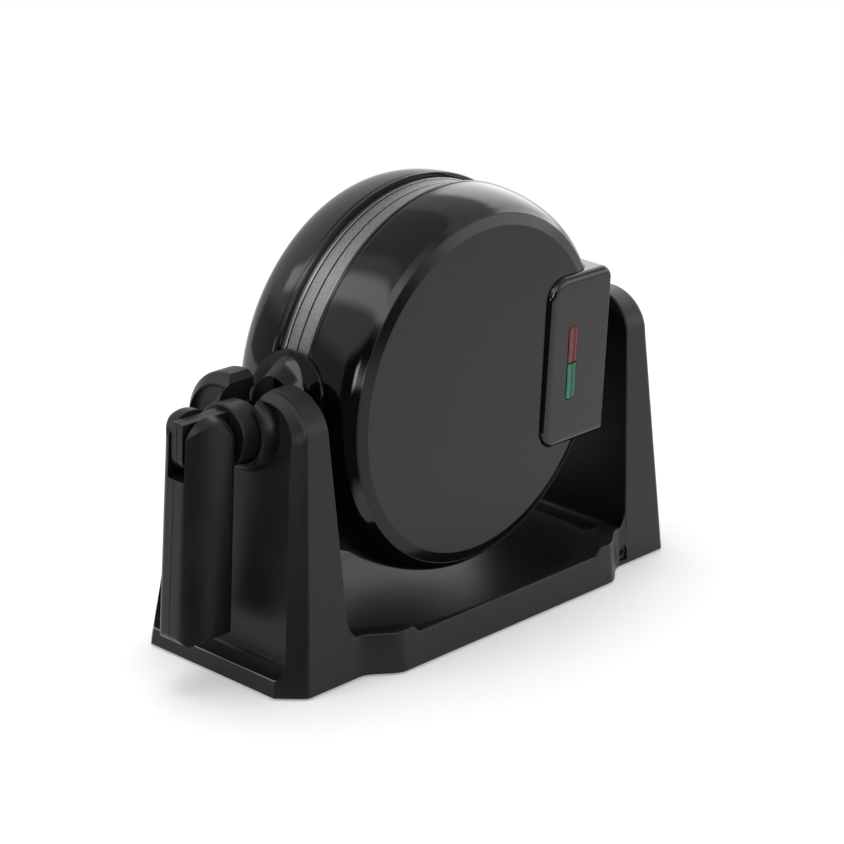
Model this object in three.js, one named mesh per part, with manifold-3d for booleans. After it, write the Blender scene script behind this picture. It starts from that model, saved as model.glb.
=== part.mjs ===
// Rotating waffle maker: a tilting drum of two hinged halves between two towers on a drip tray base.
// Millimetres, +Z up. +X runs along the turning axis from the handle to the lid hinge, -Y is the lid side.
// The drum stands upright as it is stored, with both halves of the handle folded down.

import * as THREE from 'three';
import { mergeVertices } from 'three/addons/utils/BufferGeometryUtils.js';
import Module from 'manifold-3d';

const wasm = await Module();
wasm.setup();

// Fits
const seatGap = 0.3;
const runningGap = 0.25;
const partingGap = 0.3;
const overrun = 5;
const shortestEdge = 0.02;
const mouthShare = 0.1;

// Drum: shells
const drumX = -4.4;
const drumSides = 44;
const facePlane = 44.1;
const lipRadius = 107;
const lipPlane = 10.5;
const flankWidth = 13;
const faceBevelWidth = 4;
const faceBevelDepth = 2.2;
const faceDiscThickness = 2.3;
const shellWall = 2.4;
const faceBevelRadius = lipRadius - flankWidth;
const faceRadius = faceBevelRadius - faceBevelWidth;

// Base: towers, set by the drum that turns between them
const trayRimHeight = 18.2;
const drumTrayGap = 4.1;
const axisHeight = trayRimHeight + drumTrayGap + lipRadius;
const archRadius = 23.9;
const towerTopHeight = axisHeight + archRadius;
const footStandOff = 1.2;
const drumTowerGap = 9;
const innerLean = 7.5;
const towerDepthAtFoot = 34.1;
const towerDepthAtAxis = 17.1;
const shoulderBevelDepth = 5.35;
const shoulderBevel = 5.3;
const footBevel = 12.3;
const footWidth = 115.6;
const shoulderWidth = 84.2;
const baseWall = 2.7;
const innerHalfAtAxis = lipRadius - drumX + drumTowerGap;
const innerHalfAtFoot = innerHalfAtAxis - innerLean;
const shoulderHalfAtAxis = innerHalfAtAxis + towerDepthAtAxis;
const shoulderHalfAtFoot = innerHalfAtFoot + towerDepthAtFoot;
const endHalfAtAxis = shoulderHalfAtAxis + shoulderBevelDepth;
const endHalfAtFoot = shoulderHalfAtFoot + footBevel;

// Base: hollow for the folded handle, in the end of the handle tower
const handleBayLedge = 9;
const handleBayRim = 0.6;
const handleBaySpread = 4.8;
const handleBayFillet = 6;

// Base: slot and saddle for the handle neck
const journalRadius = 9;
const saddleWall = 2.4;
const slotLeadIn = 3.5;

// Base: hollow inner faces of the towers
const innerArchRadius = 15.3;
const innerRecessRim = 0.8;
const hingeRecessDepth = 8.3;
const handleRecessDepth = 3.2;
const innerRecessFloor = 13;
const innerRecessFillet = 4;

// Base: drip tray
const trayWidth = 138.6;
const trayShoulderRise = 3.8;
const trayShoulderHeight = trayRimHeight + trayShoulderRise;
const trayRimLength = 146;
const trayShoulderSlope = 4.5;
const sweepInset = 4.6;
const sweepLength = 23.7;
const sweepStart = innerHalfAtFoot - sweepInset;
const sweepEnd = sweepStart - sweepLength;
const troughUnderTower = 5.1;
const troughHalfLength = innerHalfAtFoot + troughUnderTower;
const troughWall = 2.6;
const troughFloor = 6.6;
const troughShares = [[1, 1], [0.975, 0.6], [0.92, 0.28], [0.84, 0.08], [0.74, 0]];
const troughFlareShare = 1.02;
const trayLap = 0.05;
const footFilletHeight = 34;
const footFilletReach = 12;

// Base: underside
const coverThickness = 2;
const coverInset = 2.3;
const coverRecess = 2.4;
const sweepInsetShare = 0.5;
const footRadius = 7;
const footSeatDepth = 1.2;
const footInsetX = 20;
const footInsetY = 15;
const glandWidth = 6;
const glandHeight = 11;
const glandLength = 5;
const glandRecess = 0.8;
const cordHoleRadius = 2.1;
const cordChannelWidth = 7;

// Drum: waffle plates, pans and elements
const plateSideGap = 1.2;
const plateRadius = lipRadius - shellWall - plateSideGap;
const plateRimGap = 3.3;
const plateRim = lipPlane - plateRimGap;
const plateRimWidth = 9.4;
const bowlDraft = 6;
const bowlMouthRadius = plateRadius - plateRimWidth;
const bowlFloorRadius = bowlMouthRadius - bowlDraft;
const bowlDepth = 17;
const bowlEdge = 1.2;
const plateWall = 3;
const pegPitch = 20;
const pegBase = 15.5;
const pegTip = 12.5;
const pegGap = 5.6;
const dividerWidth = 4;
const dividerDrop = 5;
const elementRadius = 3.3;
const elementSides = 6;
const elementInset = 26;
const elementRing = bowlFloorRadius - elementInset;
const elementGapAngle = 24;
const elementLeg = 16;
const panWall = 1;
const panRimDepth = 4;
const panPlateGap = 0.9;
const panSeatGap = 0.4;
const panBackRoom = 6.4;
const panInset = 4;
const panDepth = facePlane - faceDiscThickness - shellWall - panBackRoom;
const panFloorRadius = bowlFloorRadius - panInset;

// Drum: hinge side, set by the lip of the shells
const hingeReach = 0.4;
const hingeX = drumX + lipRadius + hingeReach;
const hingeSetBack = 10.8;
const hingeY = hingeSetBack - facePlane;
const hingePinRadius = 1.6;
const hingePinInset = 3;
const knuckleWall = 2.3;
const knuckleGap = 0.6;
const knuckleRadius = hingePinRadius + knuckleWall;
const knuckleStartAngle = 150;
const coverChamferWidth = 7.6;
const coverWidth = 50.4;
const coverRight = hingeX - coverChamferWidth;
const coverLeft = coverRight - coverWidth;
const coverTop = 50.3;
const coverBottom = -47;
const coverProud = 3;
const coverPlane = facePlane + coverProud;
const coverLeftTopRadius = 13;
const coverLeftBottomRadius = 11;
const coverRightTopRadius = 3.6;
const coverRightRadius = 2.2;
const coverSkirtGap = 1.2;
const hingeHousingDrop = 12.3;
const hingeHousingLift = 5;
const hingeHousingTop = coverTop - hingeHousingDrop;
const hingeHousingBottom = coverBottom + hingeHousingLift;
const pivotRadius = 7;
const pivotWall = 2.5;
const pivotBossWall = 7;
const pivotBossRadius = pivotRadius + pivotBossWall;
const pivotBossGap = 1.1;
const pivotBossEnd = innerHalfAtAxis - pivotBossGap;
const pivotSocket = 2.5;
const bracketShoulder = 2.5;
const bracketHalfHeight = pivotBossRadius + bracketShoulder;
const bracketGap = 0.7;
const bracketThickness = 4.9;
const bracketInner = hingeX + bracketGap;
const bracketOuter = bracketInner + bracketThickness;
const bracketSetBack = 8.1;
const bracketBack = facePlane - bracketSetBack;
const bracketReach = 18;
const bracketBlockDepth = 7.8;
const bushWall = 2;
const bushFlange = 1.8;
const bushFlangeWidth = 1.6;
const bushLength = 6.6;
const retainerThickness = 1.4;
const retainerWidth = 2.4;
const pivotTail = 0.6;

// Drum: lamps and dial
const lensInset = 16.7;
const lensLeft = coverLeft + lensInset;
const lensWidth = 7.4;
const lensLength = 20.6;
const lensGap = 1;
const lensCentre = 0.2;
const lensPoint = 2.4;
const lensProud = 0.3;
const lensThickness = 4.4;
const lampSkin = 1.3;
const lampPocketDepth = 8.4;
const lampBoardThickness = 1.2;
const dialInset = 25;
const dialX = coverLeft + dialInset;
const dialRadius = 14;
const dialHeight = 7;
const dialRibs = 20;
const dialRibDepth = 0.8;
const dialShaftRadius = 3;
const thermostatSize = 16;
const thermostatDepth = 3.8;

// Neck and hub, set by the handle tower
const neckEndGap = 0.8;
const neckEndX = neckEndGap - innerHalfAtAxis;
const neckInsideDrum = 10;
const neckReach = drumTowerGap + neckInsideDrum;
const neckEndHeight = 23;
const neckEndThickness = 15.5;
const neckFullness = 2.3;
const neckRise = 11;
const neckSpread = 11.5;
const neckSwellShares = [
  [0, 0, 0],
  [0.35, 0.35, 0.06],
  [0.53, 0.64, 0.2],
  [0.64, 0.8, 0.43],
  [0.72, 0.87, 0.78],
  [1, 1, 1]
];
const neckFlangeHeight = 33.8;
const neckFlangeHalfWidth = 25.9;
const neckFlangeFullness = 2.9;
const neckFlangeFlare = 1.2;
const neckFlangeThickness = 1.4;
const hubRadius = 16.6;
const hubStep = 1.6;
const hubCollarRadius = hubRadius - hubStep;
const hubTowerGap = 1.9;
const hubCollarLength = 3.1;
const hubLength = 13.1;
const hubStart = -shoulderHalfAtAxis - hubTowerGap;
const hubCollarStart = hubStart - hubCollarLength;
const hubEnd = hubCollarStart - hubLength;
const hubDishRadius = 23;
const hubDishHeight = 7.6;
const hubDishSlope = 4.2;
const hubDishLip = 0.6;
const hubDishGap = 0.75;
const hubDishShares = [[0, 0.35], [0.4, 0.8], [1, 1]];

// Handle
const handleDepth = 30;
const handleCrownRise = 1.3;
const handleSwingGap = 0.6;
const handleHubGap = handleCrownRise + handleSwingGap;
const foldX = hubEnd - handleHubGap - handleDepth / 2;
const handleFlare = 2.6;
const handleFootHeight = 24.3;
const handleBottom = axisHeight - handleFootHeight;
const handleHalfWidth = 14.6;
const handleFaceHalfWidth = 5;
const handleEndRounding = 7;
const handleInnerRounding = 5;
const handleCrownDrop = 5.4;
const handleCrownShares = [[0.42, 0], [0.66, 0.19], [0.82, 0.33], [0.925, 0.56], [1.02, 1]];
const tongueHalf = 4.8;
const tongueFrontGap = 2.2;
const tongueRearGap = 0.6;
const tongueInset = 1;
const tongueClearance = 1.5;
const tongueRadius = handleDepth / 2 - tongueInset;
const handlePinRadius = 2.5;
const handlePinInset = 3.6;
const handlePinHalf = handleHalfWidth - handlePinInset;

const paint = {
  satinBlack: { color: 0x1b1b1c, roughness: 0.55, metalness: 0 },
  glossBlack: { color: 0x0b0b0c, roughness: 0.08, metalness: 0 },
  faceGrey: { color: 0x3a3a3b, roughness: 0.45, metalness: 0 },
  castAluminium: { color: 0xa9a9aa, roughness: 0.5, metalness: 0.9 },
  steel: { color: 0xb8bbbf, roughness: 0.3, metalness: 1 },
  heaterSheath: { color: 0x6d6660, roughness: 0.5, metalness: 0.8 },
  rubber: { color: 0x111111, roughness: 0.9, metalness: 0 },
  acetal: { color: 0xd8d6cf, roughness: 0.4, metalness: 0 },
  redLens: { color: 0x8c2a30, roughness: 0.15, metalness: 0 },
  greenLens: { color: 0x1f8a5c, roughness: 0.15, metalness: 0 },
  board: { color: 0x2b5b35, roughness: 0.6, metalness: 0 }
};

const part = new THREE.Group();
const stand = new THREE.Group();
stand.position.z = footStandOff;
part.add(stand);

// Geometry helpers

function asSolid(geometry) {
  const bare = geometry.index ? geometry.toNonIndexed() : geometry.clone();
  bare.deleteAttribute('normal');
  bare.deleteAttribute('uv');
  const merged = mergeVertices(bare, 1e-4);
  const vertices = new Float32Array(merged.attributes.position.array);
  const triangles = [];
  const index = merged.index.array;
  for (let i = 0; i < index.length; i += 3) {
    const [a, b, c] = [index[i], index[i + 1], index[i + 2]];
    if (a !== b && b !== c && c !== a) triangles.push(a, b, c);
  }
  if (signedVolume(vertices, triangles) < 0) {
    for (let i = 0; i < triangles.length; i += 3) {
      [triangles[i + 1], triangles[i + 2]] = [triangles[i + 2], triangles[i + 1]];
    }
  }
  const triVerts = new Uint32Array(triangles);
  const mesh = new wasm.Mesh({ numProp: 3, vertProperties: vertices, triVerts });
  return new wasm.Manifold(mesh);
}

function signedVolume(vertices, triangles) {
  const corner = (i) => new THREE.Vector3().fromArray(vertices, triangles[i] * 3);
  let volume = 0;
  for (let i = 0; i < triangles.length; i += 3) {
    volume += corner(i).dot(corner(i + 1).cross(corner(i + 2)));
  }
  return volume;
}

function asGeometry(solid) {
  const { vertProperties, triVerts } = solid.setTolerance(shortestEdge).getMesh();
  const geometry = new THREE.BufferGeometry();
  geometry.setAttribute('position', new THREE.BufferAttribute(new Float32Array(vertProperties), 3));
  geometry.setIndex(new THREE.BufferAttribute(new Uint32Array(triVerts), 1));
  return geometry;
}

function addPiece(name, solid, finish, parent = stand) {
  const geometry = solid.isBufferGeometry ? solid : asGeometry(solid);
  const piece = new THREE.Mesh(geometry, new THREE.MeshStandardMaterial(finish));
  piece.name = name;
  parent.add(piece);
  return piece;
}

// A closed skin through rings of equal count; flatten(point) gives the plane in which the end caps lie.
function loft(rings, flatten) {
  const count = rings[0].length;
  const positions = rings.flat().flatMap((p) => [p.x, p.y, p.z]);
  const index = [];
  for (let i = 0; i < rings.length - 1; i += 1) {
    for (let j = 0; j < count; j += 1) {
      const next = (j + 1) % count;
      const [a, b, c, d] = [i * count + j, i * count + next, (i + 1) * count + next, (i + 1) * count + j];
      index.push(a, b, c, a, c, d);
    }
  }
  const addCap = (ring, start, inRingOrder) => {
    const flat = ring.map(flatten);
    const faces = THREE.ShapeUtils.triangulateShape(flat, []);
    const faceArea = faces.reduce((sum, face) => sum + THREE.ShapeUtils.area(face.map((k) => flat[k])), 0);
    const sameTurn = (faceArea > 0) === (THREE.ShapeUtils.area(flat) > 0);
    for (const [a, b, c] of faces) {
      const keep = sameTurn === inRingOrder;
      index.push(start + a, start + (keep ? b : c), start + (keep ? c : b));
    }
  };
  addCap(rings[0], 0, false);
  addCap(rings[rings.length - 1], (rings.length - 1) * count, true);
  const geometry = new THREE.BufferGeometry();
  geometry.setAttribute('position', new THREE.Float32BufferAttribute(positions, 3));
  geometry.setIndex(index);
  return asSolid(geometry);
}

const onYZ = (p) => new THREE.Vector2(p.y, p.z);
const onXY = (p) => new THREE.Vector2(p.x, p.y);

function shapeOf(points) {
  return new THREE.Shape(points.map(([x, y]) => new THREE.Vector2(x, y)));
}

// Prism of an outline in X and Z, from y = near to y = far.
function prismAlongY(outline, near, far) {
  const geometry = new THREE.ExtrudeGeometry(shapeOf(outline), { depth: far - near, bevelEnabled: false });
  geometry.rotateX(Math.PI / 2);
  geometry.translate(0, far, 0);
  return asSolid(geometry);
}

// Prism of an outline in X and Y, from z = low to z = high.
function prismAlongZ(outline, low, high) {
  const geometry = new THREE.ExtrudeGeometry(shapeOf(outline), { depth: high - low, bevelEnabled: false });
  geometry.translate(0, 0, low);
  return asSolid(geometry);
}

// Prism of an outline in Y and Z, from x = near to x = far.
function prismAlongX(outline, near, far) {
  const geometry = new THREE.ExtrudeGeometry(shapeOf(outline), { depth: far - near, bevelEnabled: false });
  geometry.rotateX(Math.PI / 2);
  geometry.rotateZ(Math.PI / 2);
  geometry.translate(near, 0, 0);
  return asSolid(geometry);
}

function box(x0, x1, y0, y1, z0, z1) {
  const geometry = new THREE.BoxGeometry(x1 - x0, y1 - y0, z1 - z0);
  geometry.translate((x0 + x1) / 2, (y0 + y1) / 2, (z0 + z1) / 2);
  return asSolid(geometry);
}

function cylinderX(radius, x0, x1, z = axisHeight, sides = 28) {
  const geometry = new THREE.CylinderGeometry(radius, radius, x1 - x0, sides);
  geometry.rotateZ(Math.PI / 2);
  geometry.translate((x0 + x1) / 2, 0, z);
  return asSolid(geometry);
}

function cylinderY(radius, x, y0, y1, z = axisHeight, sides = 32) {
  const geometry = new THREE.CylinderGeometry(radius, radius, y1 - y0, sides);
  geometry.translate(x, (y0 + y1) / 2, z);
  return asSolid(geometry);
}

function cylinderZ(radius, x, y, z0, z1, sides = 24) {
  const geometry = new THREE.CylinderGeometry(radius, radius, z1 - z0, sides);
  geometry.rotateX(Math.PI / 2);
  geometry.translate(x, y, (z0 + z1) / 2);
  return asSolid(geometry);
}

// Points on an arc, in degrees, both ends included.
function arcPoints(cx, cy, radius, from, to, steps) {
  const points = [];
  for (let i = 0; i <= steps; i += 1) {
    const angle = THREE.MathUtils.degToRad(from + (to - from) * i / steps);
    points.push([cx + radius * Math.cos(angle), cy + radius * Math.sin(angle)]);
  }
  return points;
}

const mix = THREE.MathUtils.lerp;
const atHeight = (foot, axis, z) => mix(foot, axis, z / axisHeight);

// Base

const creaseHalf = shoulderWidth / 2;
const footHalf = footWidth / 2;

// Outline of a tower in Y and Z: leaning sides up to the axis, then an arch with a flat crown.
function towerOutline({ bottom = 0, footInset = 0, axisInset = 0, radius = archRadius - axisInset }) {
  const inset = atHeight(footInset, axisInset, bottom);
  const side = atHeight(footHalf, creaseHalf, bottom) - inset;
  const crease = creaseHalf - axisInset;
  const rise = arcPoints(crease - radius, axisHeight, radius, 0, 90, 5);
  const right = [[side, bottom], ...rise];
  return [...right, ...right.map(([y, z]) => [-y, z]).reverse()];
}

const innerX = (z) => atHeight(innerHalfAtFoot, innerHalfAtAxis, z);
const shoulderX = (z) => atHeight(shoulderHalfAtFoot, shoulderHalfAtAxis, z);
const endX = (z) => atHeight(endHalfAtFoot, endHalfAtAxis, z);

function towerRing(outline, xAt, side) {
  return outline.map(([y, z]) => new THREE.Vector3(side * xAt(z), y, z));
}

function towerBody(side) {
  const full = towerOutline({});
  const end = towerOutline({ footInset: footBevel, axisInset: shoulderBevel });
  const rings = [[full, innerX], [full, shoulderX], [end, endX]];
  return loft(rings.map(([outline, xAt]) => towerRing(outline, xAt, side)), onYZ);
}

// The hollow in the end face into which the handle folds, with rounded inner corners.
function handleBay(side) {
  const steps = 4;
  const rings = [];
  for (let i = -1; i <= steps; i += 1) {
    const depth = Math.max(i, mouthShare) / steps;
    const inset = handleBayRim + handleBayFillet * (1 - Math.sqrt(1 - depth * depth));
    const outline = towerOutline({
      bottom: handleBayLedge,
      footInset: footBevel - handleBaySpread + inset,
      axisInset: shoulderBevel + inset
    });
    const reach = i < 0 ? overrun : 0;
    rings.push(towerRing(outline, (z) => mix(endX(z), shoulderX(z), depth) + reach, side));
  }
  return loft(rings, onYZ);
}

// The scooped inner face of a tower, under its arch.
function innerRecess(side, depthAtBack) {
  const steps = 3;
  const rings = [];
  for (let i = -1; i <= steps; i += 1) {
    const depth = Math.max(i, mouthShare) / steps;
    const inset = innerRecessFillet * (1 - Math.sqrt(1 - depth * depth));
    const outline = towerOutline({
      bottom: innerRecessFloor + inset,
      footInset: innerRecessRim + inset,
      axisInset: innerRecessRim + inset,
      radius: Math.max(innerArchRadius - inset, seatGap)
    });
    const reach = i < 0 ? -overrun : depth * depthAtBack;
    rings.push(towerRing(outline, (z) => innerX(z) + reach, side));
  }
  return loft(rings, onYZ);
}

// The space inside a tower, open at the bottom: wide at the foot and narrowed at its top to topHalf.
function towerHollow(side, nearAt, farAt, farInset, top, topHalf) {
  const wide = (z) => atHeight(footHalf, creaseHalf, z) - baseWall;
  const narrowing = top - topHalf;
  const levels = [
    { z: -overrun, near: wide(0), far: wide(0) - farInset },
    { z: narrowing, near: wide(narrowing), far: wide(narrowing) - farInset },
    { z: top, near: topHalf, far: topHalf }
  ];
  const rings = levels.map(({ z, near, far }) => [
    new THREE.Vector3(side * nearAt(z), -near, z),
    new THREE.Vector3(side * farAt(z), -far, z),
    new THREE.Vector3(side * farAt(z), far, z),
    new THREE.Vector3(side * nearAt(z), near, z)
  ]);
  return loft(rings, onXY);
}

// Half of the side sweep from the tower foot out to the wider tray, as seen from above.
function sweepPoints(steps) {
  const points = [];
  for (let i = 0; i <= steps; i += 1) {
    const t = i / steps;
    const swing = (1 - Math.cos(Math.PI * t)) / 2;
    points.push([mix(sweepStart, sweepEnd, t), mix(footHalf, trayWidth / 2, swing)]);
  }
  return points;
}

function trayOutline(inset) {
  const quarter = [[innerHalfAtFoot + overrun, footHalf], ...sweepPoints(6)];
  const half = [...quarter, ...quarter.map(([x, y]) => [-x, y]).reverse()];
  const whole = [...half, ...half.map(([x, y]) => [x, -y]).reverse()];
  return whole.map(([x, y]) => [x, y - Math.sign(y) * inset]);
}

const sideLean = (footHalf - creaseHalf) / axisHeight;

function trayBody() {
  const ring = (z) => trayOutline(trayLap + sideLean * z).map(([x, y]) => new THREE.Vector3(x, y, z));
  const block = loft([ring(0), ring(trayShoulderHeight)], onXY);
  const half = trayRimLength / 2;
  const top = trayShoulderHeight + overrun;
  const low = [
    [-half - trayShoulderSlope, trayShoulderHeight],
    [-half, trayRimHeight],
    [half, trayRimHeight],
    [half + trayShoulderSlope, trayShoulderHeight],
    [half + trayShoulderSlope, top],
    [-half - trayShoulderSlope, top]
  ];
  return block.subtract(prismAlongY(low, -trayWidth, trayWidth));
}

// The curve that carries a tower's inner edge into the tray wall.
function footFillet(side) {
  const from = new THREE.Vector2(innerX(footFilletHeight) + partingGap, footFilletHeight);
  const to = new THREE.Vector2(innerX(trayShoulderHeight) - footFilletReach, trayRimHeight);
  const bend = new THREE.Vector2(innerX(trayShoulderHeight), trayShoulderHeight);
  const curve = new THREE.QuadraticBezierCurve(from, bend, to).getPoints(6);
  const low = trayRimHeight / 2;
  const outline = [...curve.map((p) => [p.x, p.y]), [to.x, low], [from.x, low]];
  const turned = outline.map(([x, z]) => [side * x, z]);
  const leaning = towerOutline({ footInset: partingGap, axisInset: partingGap });
  const room = prismAlongX(leaning, -endHalfAtFoot, endHalfAtFoot);
  return prismAlongY(turned, -footHalf, footHalf).intersect(room);
}

// The trough under the drum: a dish with steep ends, lowest along the middle.
function trough() {
  const halfWidth = trayWidth / 2 - sideLean * trayRimHeight - troughWall;
  const ring = (share, z) => superellipse(troughHalfLength * share, halfWidth * share, z);
  const top = trayRimHeight - seatGap;
  return loft([
    ring(troughFlareShare, trayShoulderHeight + overrun),
    ...troughShares.map(([reach, high]) => ring(reach, mix(troughFloor, top, high)))
  ], onXY);
}

function superellipse(a, b, z, sides = 36, power = 3) {
  const ring = [];
  for (let i = 0; i < sides; i += 1) {
    const angle = 2 * Math.PI * i / sides;
    const [c, s] = [Math.cos(angle), Math.sin(angle)];
    const stretch = (Math.abs(c) ** power + Math.abs(s) ** power) ** (-1 / power);
    ring.push(new THREE.Vector3(a * c * stretch, b * s * stretch, z));
  }
  return ring;
}

const slotHalf = journalRadius + saddleWall + seatGap;
const saddleX0 = -shoulderX(axisHeight);
const saddleX1 = -innerX(axisHeight) - handleRecessDepth;

// Keyhole outline of the slot, in Y and Z: round at the bottom and flared at the top.
function slotOutline(half) {
  const bottom = arcPoints(0, axisHeight, half, 180, 360, 12);
  const flareStart = towerTopHeight - slotLeadIn;
  const top = towerTopHeight + overrun;
  const flare = slotLeadIn + overrun;
  return [...bottom, [half, flareStart], [half + flare, top], [-half - flare, top], [-half, flareStart]];
}

function makeBase() {
  let base = towerBody(-1).add(towerBody(1)).add(trayBody()).add(footFillet(-1)).add(footFillet(1));
  base = base.subtract(handleBay(-1));
  base = base.subtract(innerRecess(-1, handleRecessDepth)).subtract(innerRecess(1, hingeRecessDepth));
  base = base.subtract(trough());

  const dish = hubDish();
  base = base.add(dish);

  // Bearing boss on the back of the hinge tower's recess
  const recessBack = innerX(axisHeight) + hingeRecessDepth;
  const bossRadius = pivotRadius + bushWall + baseWall;
  base = base.add(cylinderX(bossRadius, recessBack - bushFlange, recessBack + bushLength));

  const hollowTop = axisHeight - slotHalf - baseWall * 2;
  const handleSide = towerHollow(
    -1,
    (z) => innerX(z) + handleRecessDepth + baseWall,
    (z) => shoulderX(z) - baseWall,
    handleBayFillet,
    hollowTop,
    slotHalf
  );
  const hingeSide = towerHollow(
    1,
    (z) => innerX(z) + hingeRecessDepth + baseWall,
    (z) => endX(z) - baseWall,
    footBevel,
    axisHeight + bossRadius - bushWall,
    bossRadius
  );
  base = base.subtract(handleSide);
  const boss = cylinderX(bossRadius, recessBack - overrun, recessBack + bushLength);
  base = base.subtract(hingeSide.subtract(boss));

  base = base.subtract(prismAlongX(slotOutline(slotHalf), -endHalfAtFoot, saddleX1 + overrun * 2));
  const bushHole = pivotRadius + runningGap + bushWall + seatGap;
  base = base.subtract(cylinderX(bushHole, innerX(0), recessBack + bushLength + seatGap));

  const recess = coverOutline(-seatGap);
  base = base.subtract(prismAlongZ(recess, -overrun, coverRecess));
  base = base.subtract(glandOpening(seatGap, overrun));
  base = base.subtract(cordChannel());
  return base;
}

// The round dish round the handle hub.
function hubDish() {
  const back = shoulderX(axisHeight);
  const sunk = back - baseWall / 2;
  const hole = hubRadius + hubDishGap;
  const slope = hubDishShares.map(([inward, high]) => [
    hubDishRadius - hubDishSlope * inward,
    back + hubDishHeight * high
  ]);
  const points = [
    [0, back - baseWall],
    [hubDishRadius, back - baseWall],
    ...slope,
    [hole + hubDishLip, back + hubDishHeight],
    [hole, back + hubDishHeight - hubDishLip],
    [hole, sunk],
    [0, sunk]
  ];
  const outline = points.map(([r, x]) => new THREE.Vector2(r, x));
  const geometry = new THREE.LatheGeometry(outline, 36, Math.PI / 36);
  geometry.rotateZ(Math.PI / 2);
  geometry.translate(0, 0, axisHeight);
  return asSolid(geometry);
}

const glandX = sweepStart + glandWidth / 2;
const glandFace = footHalf - sideLean * glandHeight - glandRecess;

// The round-topped opening for the cord, low in the corner between the tray and the hinge tower.
function glandOpening(gap, outward) {
  const half = glandWidth / 2 + gap;
  const arch = arcPoints(glandX, glandHeight - glandWidth / 2, half, 0, 180, 8);
  const outline = [...arch, [glandX - half, coverRecess], [glandX + half, coverRecess]];
  return prismAlongY(outline, -glandFace - outward, -glandFace + glandLength + gap);
}

// The way for the cord from the gland to the hollow of the hinge tower.
function cordChannel() {
  const near = -glandFace + glandLength;
  const top = glandHeight - glandWidth / 2;
  const end = innerX(0) + hingeRecessDepth + baseWall * 2;
  return box(glandX - glandWidth / 2, end, near, near + cordChannelWidth, -overrun, top);
}

// Outline of the underside cover: the base outline drawn in by its rim.
function coverOutline(shrink) {
  const inset = coverInset + shrink;
  const halfLength = endHalfAtFoot - inset;
  const corner = footBevel;
  const quarter = [
    [halfLength, footHalf - corner - inset * Math.tan(Math.PI / 8)],
    [halfLength - corner, footHalf - inset],
    ...sweepPoints(6).map(([x, y]) => [x - inset * sweepInsetShare, y - inset])
  ];
  const half = [...quarter, ...quarter.map(([x, y]) => [-x, y]).reverse()];
  return [...half, ...half.map(([x, y]) => [x, -y]).reverse()];
}

addPiece('base_housing', makeBase(), paint.satinBlack);

function makeBottomCover() {
  const high = coverRecess - seatGap;
  const low = high - coverThickness;
  let cover = prismAlongZ(coverOutline(seatGap), low, high);
  for (const [x, y] of footPlaces) {
    cover = cover.subtract(cylinderZ(footRadius + seatGap, x, y, low - overrun, low + footSeatDepth, 16));
  }
  return cover;
}

const footPlaces = [-1, 1].flatMap((sx) => [-1, 1].map((sy) => [
  sx * (endHalfAtFoot - footInsetX),
  sy * (footHalf - footInsetY)
]));

addPiece('bottom_cover', makeBottomCover(), paint.satinBlack);

footPlaces.forEach(([x, y], i) => {
  const seat = coverRecess - coverThickness - seatGap + footSeatDepth - seatGap;
  addPiece(`foot_${i + 1}`, cylinderZ(footRadius, x, y, -footStandOff, seat, 16), paint.rubber);
});

// The open saddle in which the handle neck turns.
function makeSaddle() {
  const outer = journalRadius + saddleWall;
  const inner = journalRadius + runningGap;
  const top = axisHeight + journalRadius;
  const ring = (r0, r1) => {
    const down = arcPoints(0, axisHeight, r1, 180, 360, 16);
    const up = arcPoints(0, axisHeight, r0, 360, 180, 16);
    return [[-r1, top], ...down, [r1, top], [r0, top], ...up, [-r0, top]];
  };
  return prismAlongX(ring(inner, outer), saddleX0 + seatGap, saddleX1 - seatGap);
}

addPiece('handle_side_saddle', makeSaddle(), paint.acetal);

function tube(outer, inner, x0, x1, sides = 28) {
  const bore = cylinderX(inner, x0 - overrun, x1 + overrun, axisHeight, sides);
  return cylinderX(outer, x0, x1, axisHeight, sides).subtract(bore);
}

const recessBackX = innerX(axisHeight) + hingeRecessDepth;

function makeBush() {
  const outer = pivotRadius + runningGap + bushWall;
  const sleeve = cylinderX(outer, recessBackX - bushFlange - seatGap, recessBackX + bushLength);
  const flangeX = recessBackX - bushFlange - seatGap;
  const flange = cylinderX(outer + bushFlangeWidth, flangeX - bushFlange, flangeX);
  const bore = cylinderX(pivotRadius + runningGap, flangeX - overrun, recessBackX + bushLength + overrun);
  return sleeve.add(flange).subtract(bore);
}

addPiece('hinge_side_bush', makeBush(), paint.acetal);

function makeGland() {
  const body = glandOpening(0, 0).intersect(box(
    glandX - glandWidth,
    glandX + glandWidth,
    -footHalf,
    0,
    coverRecess + seatGap,
    glandHeight * 2
  ));
  const middle = (glandHeight + coverRecess) / 2;
  return body.subtract(cylinderY(cordHoleRadius, glandX, -footHalf, 0, middle, 12));
}

addPiece('cord_gland', makeGland(), paint.rubber);

// Drum

// Turns an outline of [radius, y] pairs round the drum's own axis, which lies along Y.
function turnedOnDrum(points) {
  const outline = points.map(([r, y]) => new THREE.Vector2(r, y));
  const geometry = new THREE.LatheGeometry(outline, drumSides, Math.PI / drumSides);
  geometry.translate(drumX, 0, axisHeight);
  return asSolid(geometry);
}

// side is +1 for the half that stays on the pivot and -1 for the lid.
function shellFlank(gap, steps) {
  const points = [];
  const foot = facePlane - faceBevelDepth;
  for (let i = 0; i <= steps; i += 1) {
    const angle = Math.PI / 2 * i / steps;
    points.push([
      faceBevelRadius + (lipRadius - faceBevelRadius) * Math.cos(angle) + gap,
      lipPlane + (foot - lipPlane) * Math.sin(angle)
    ]);
  }
  return points;
}

const onSide = (points, side) => points.map(([r, y]) => [r, y * side]);

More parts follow.
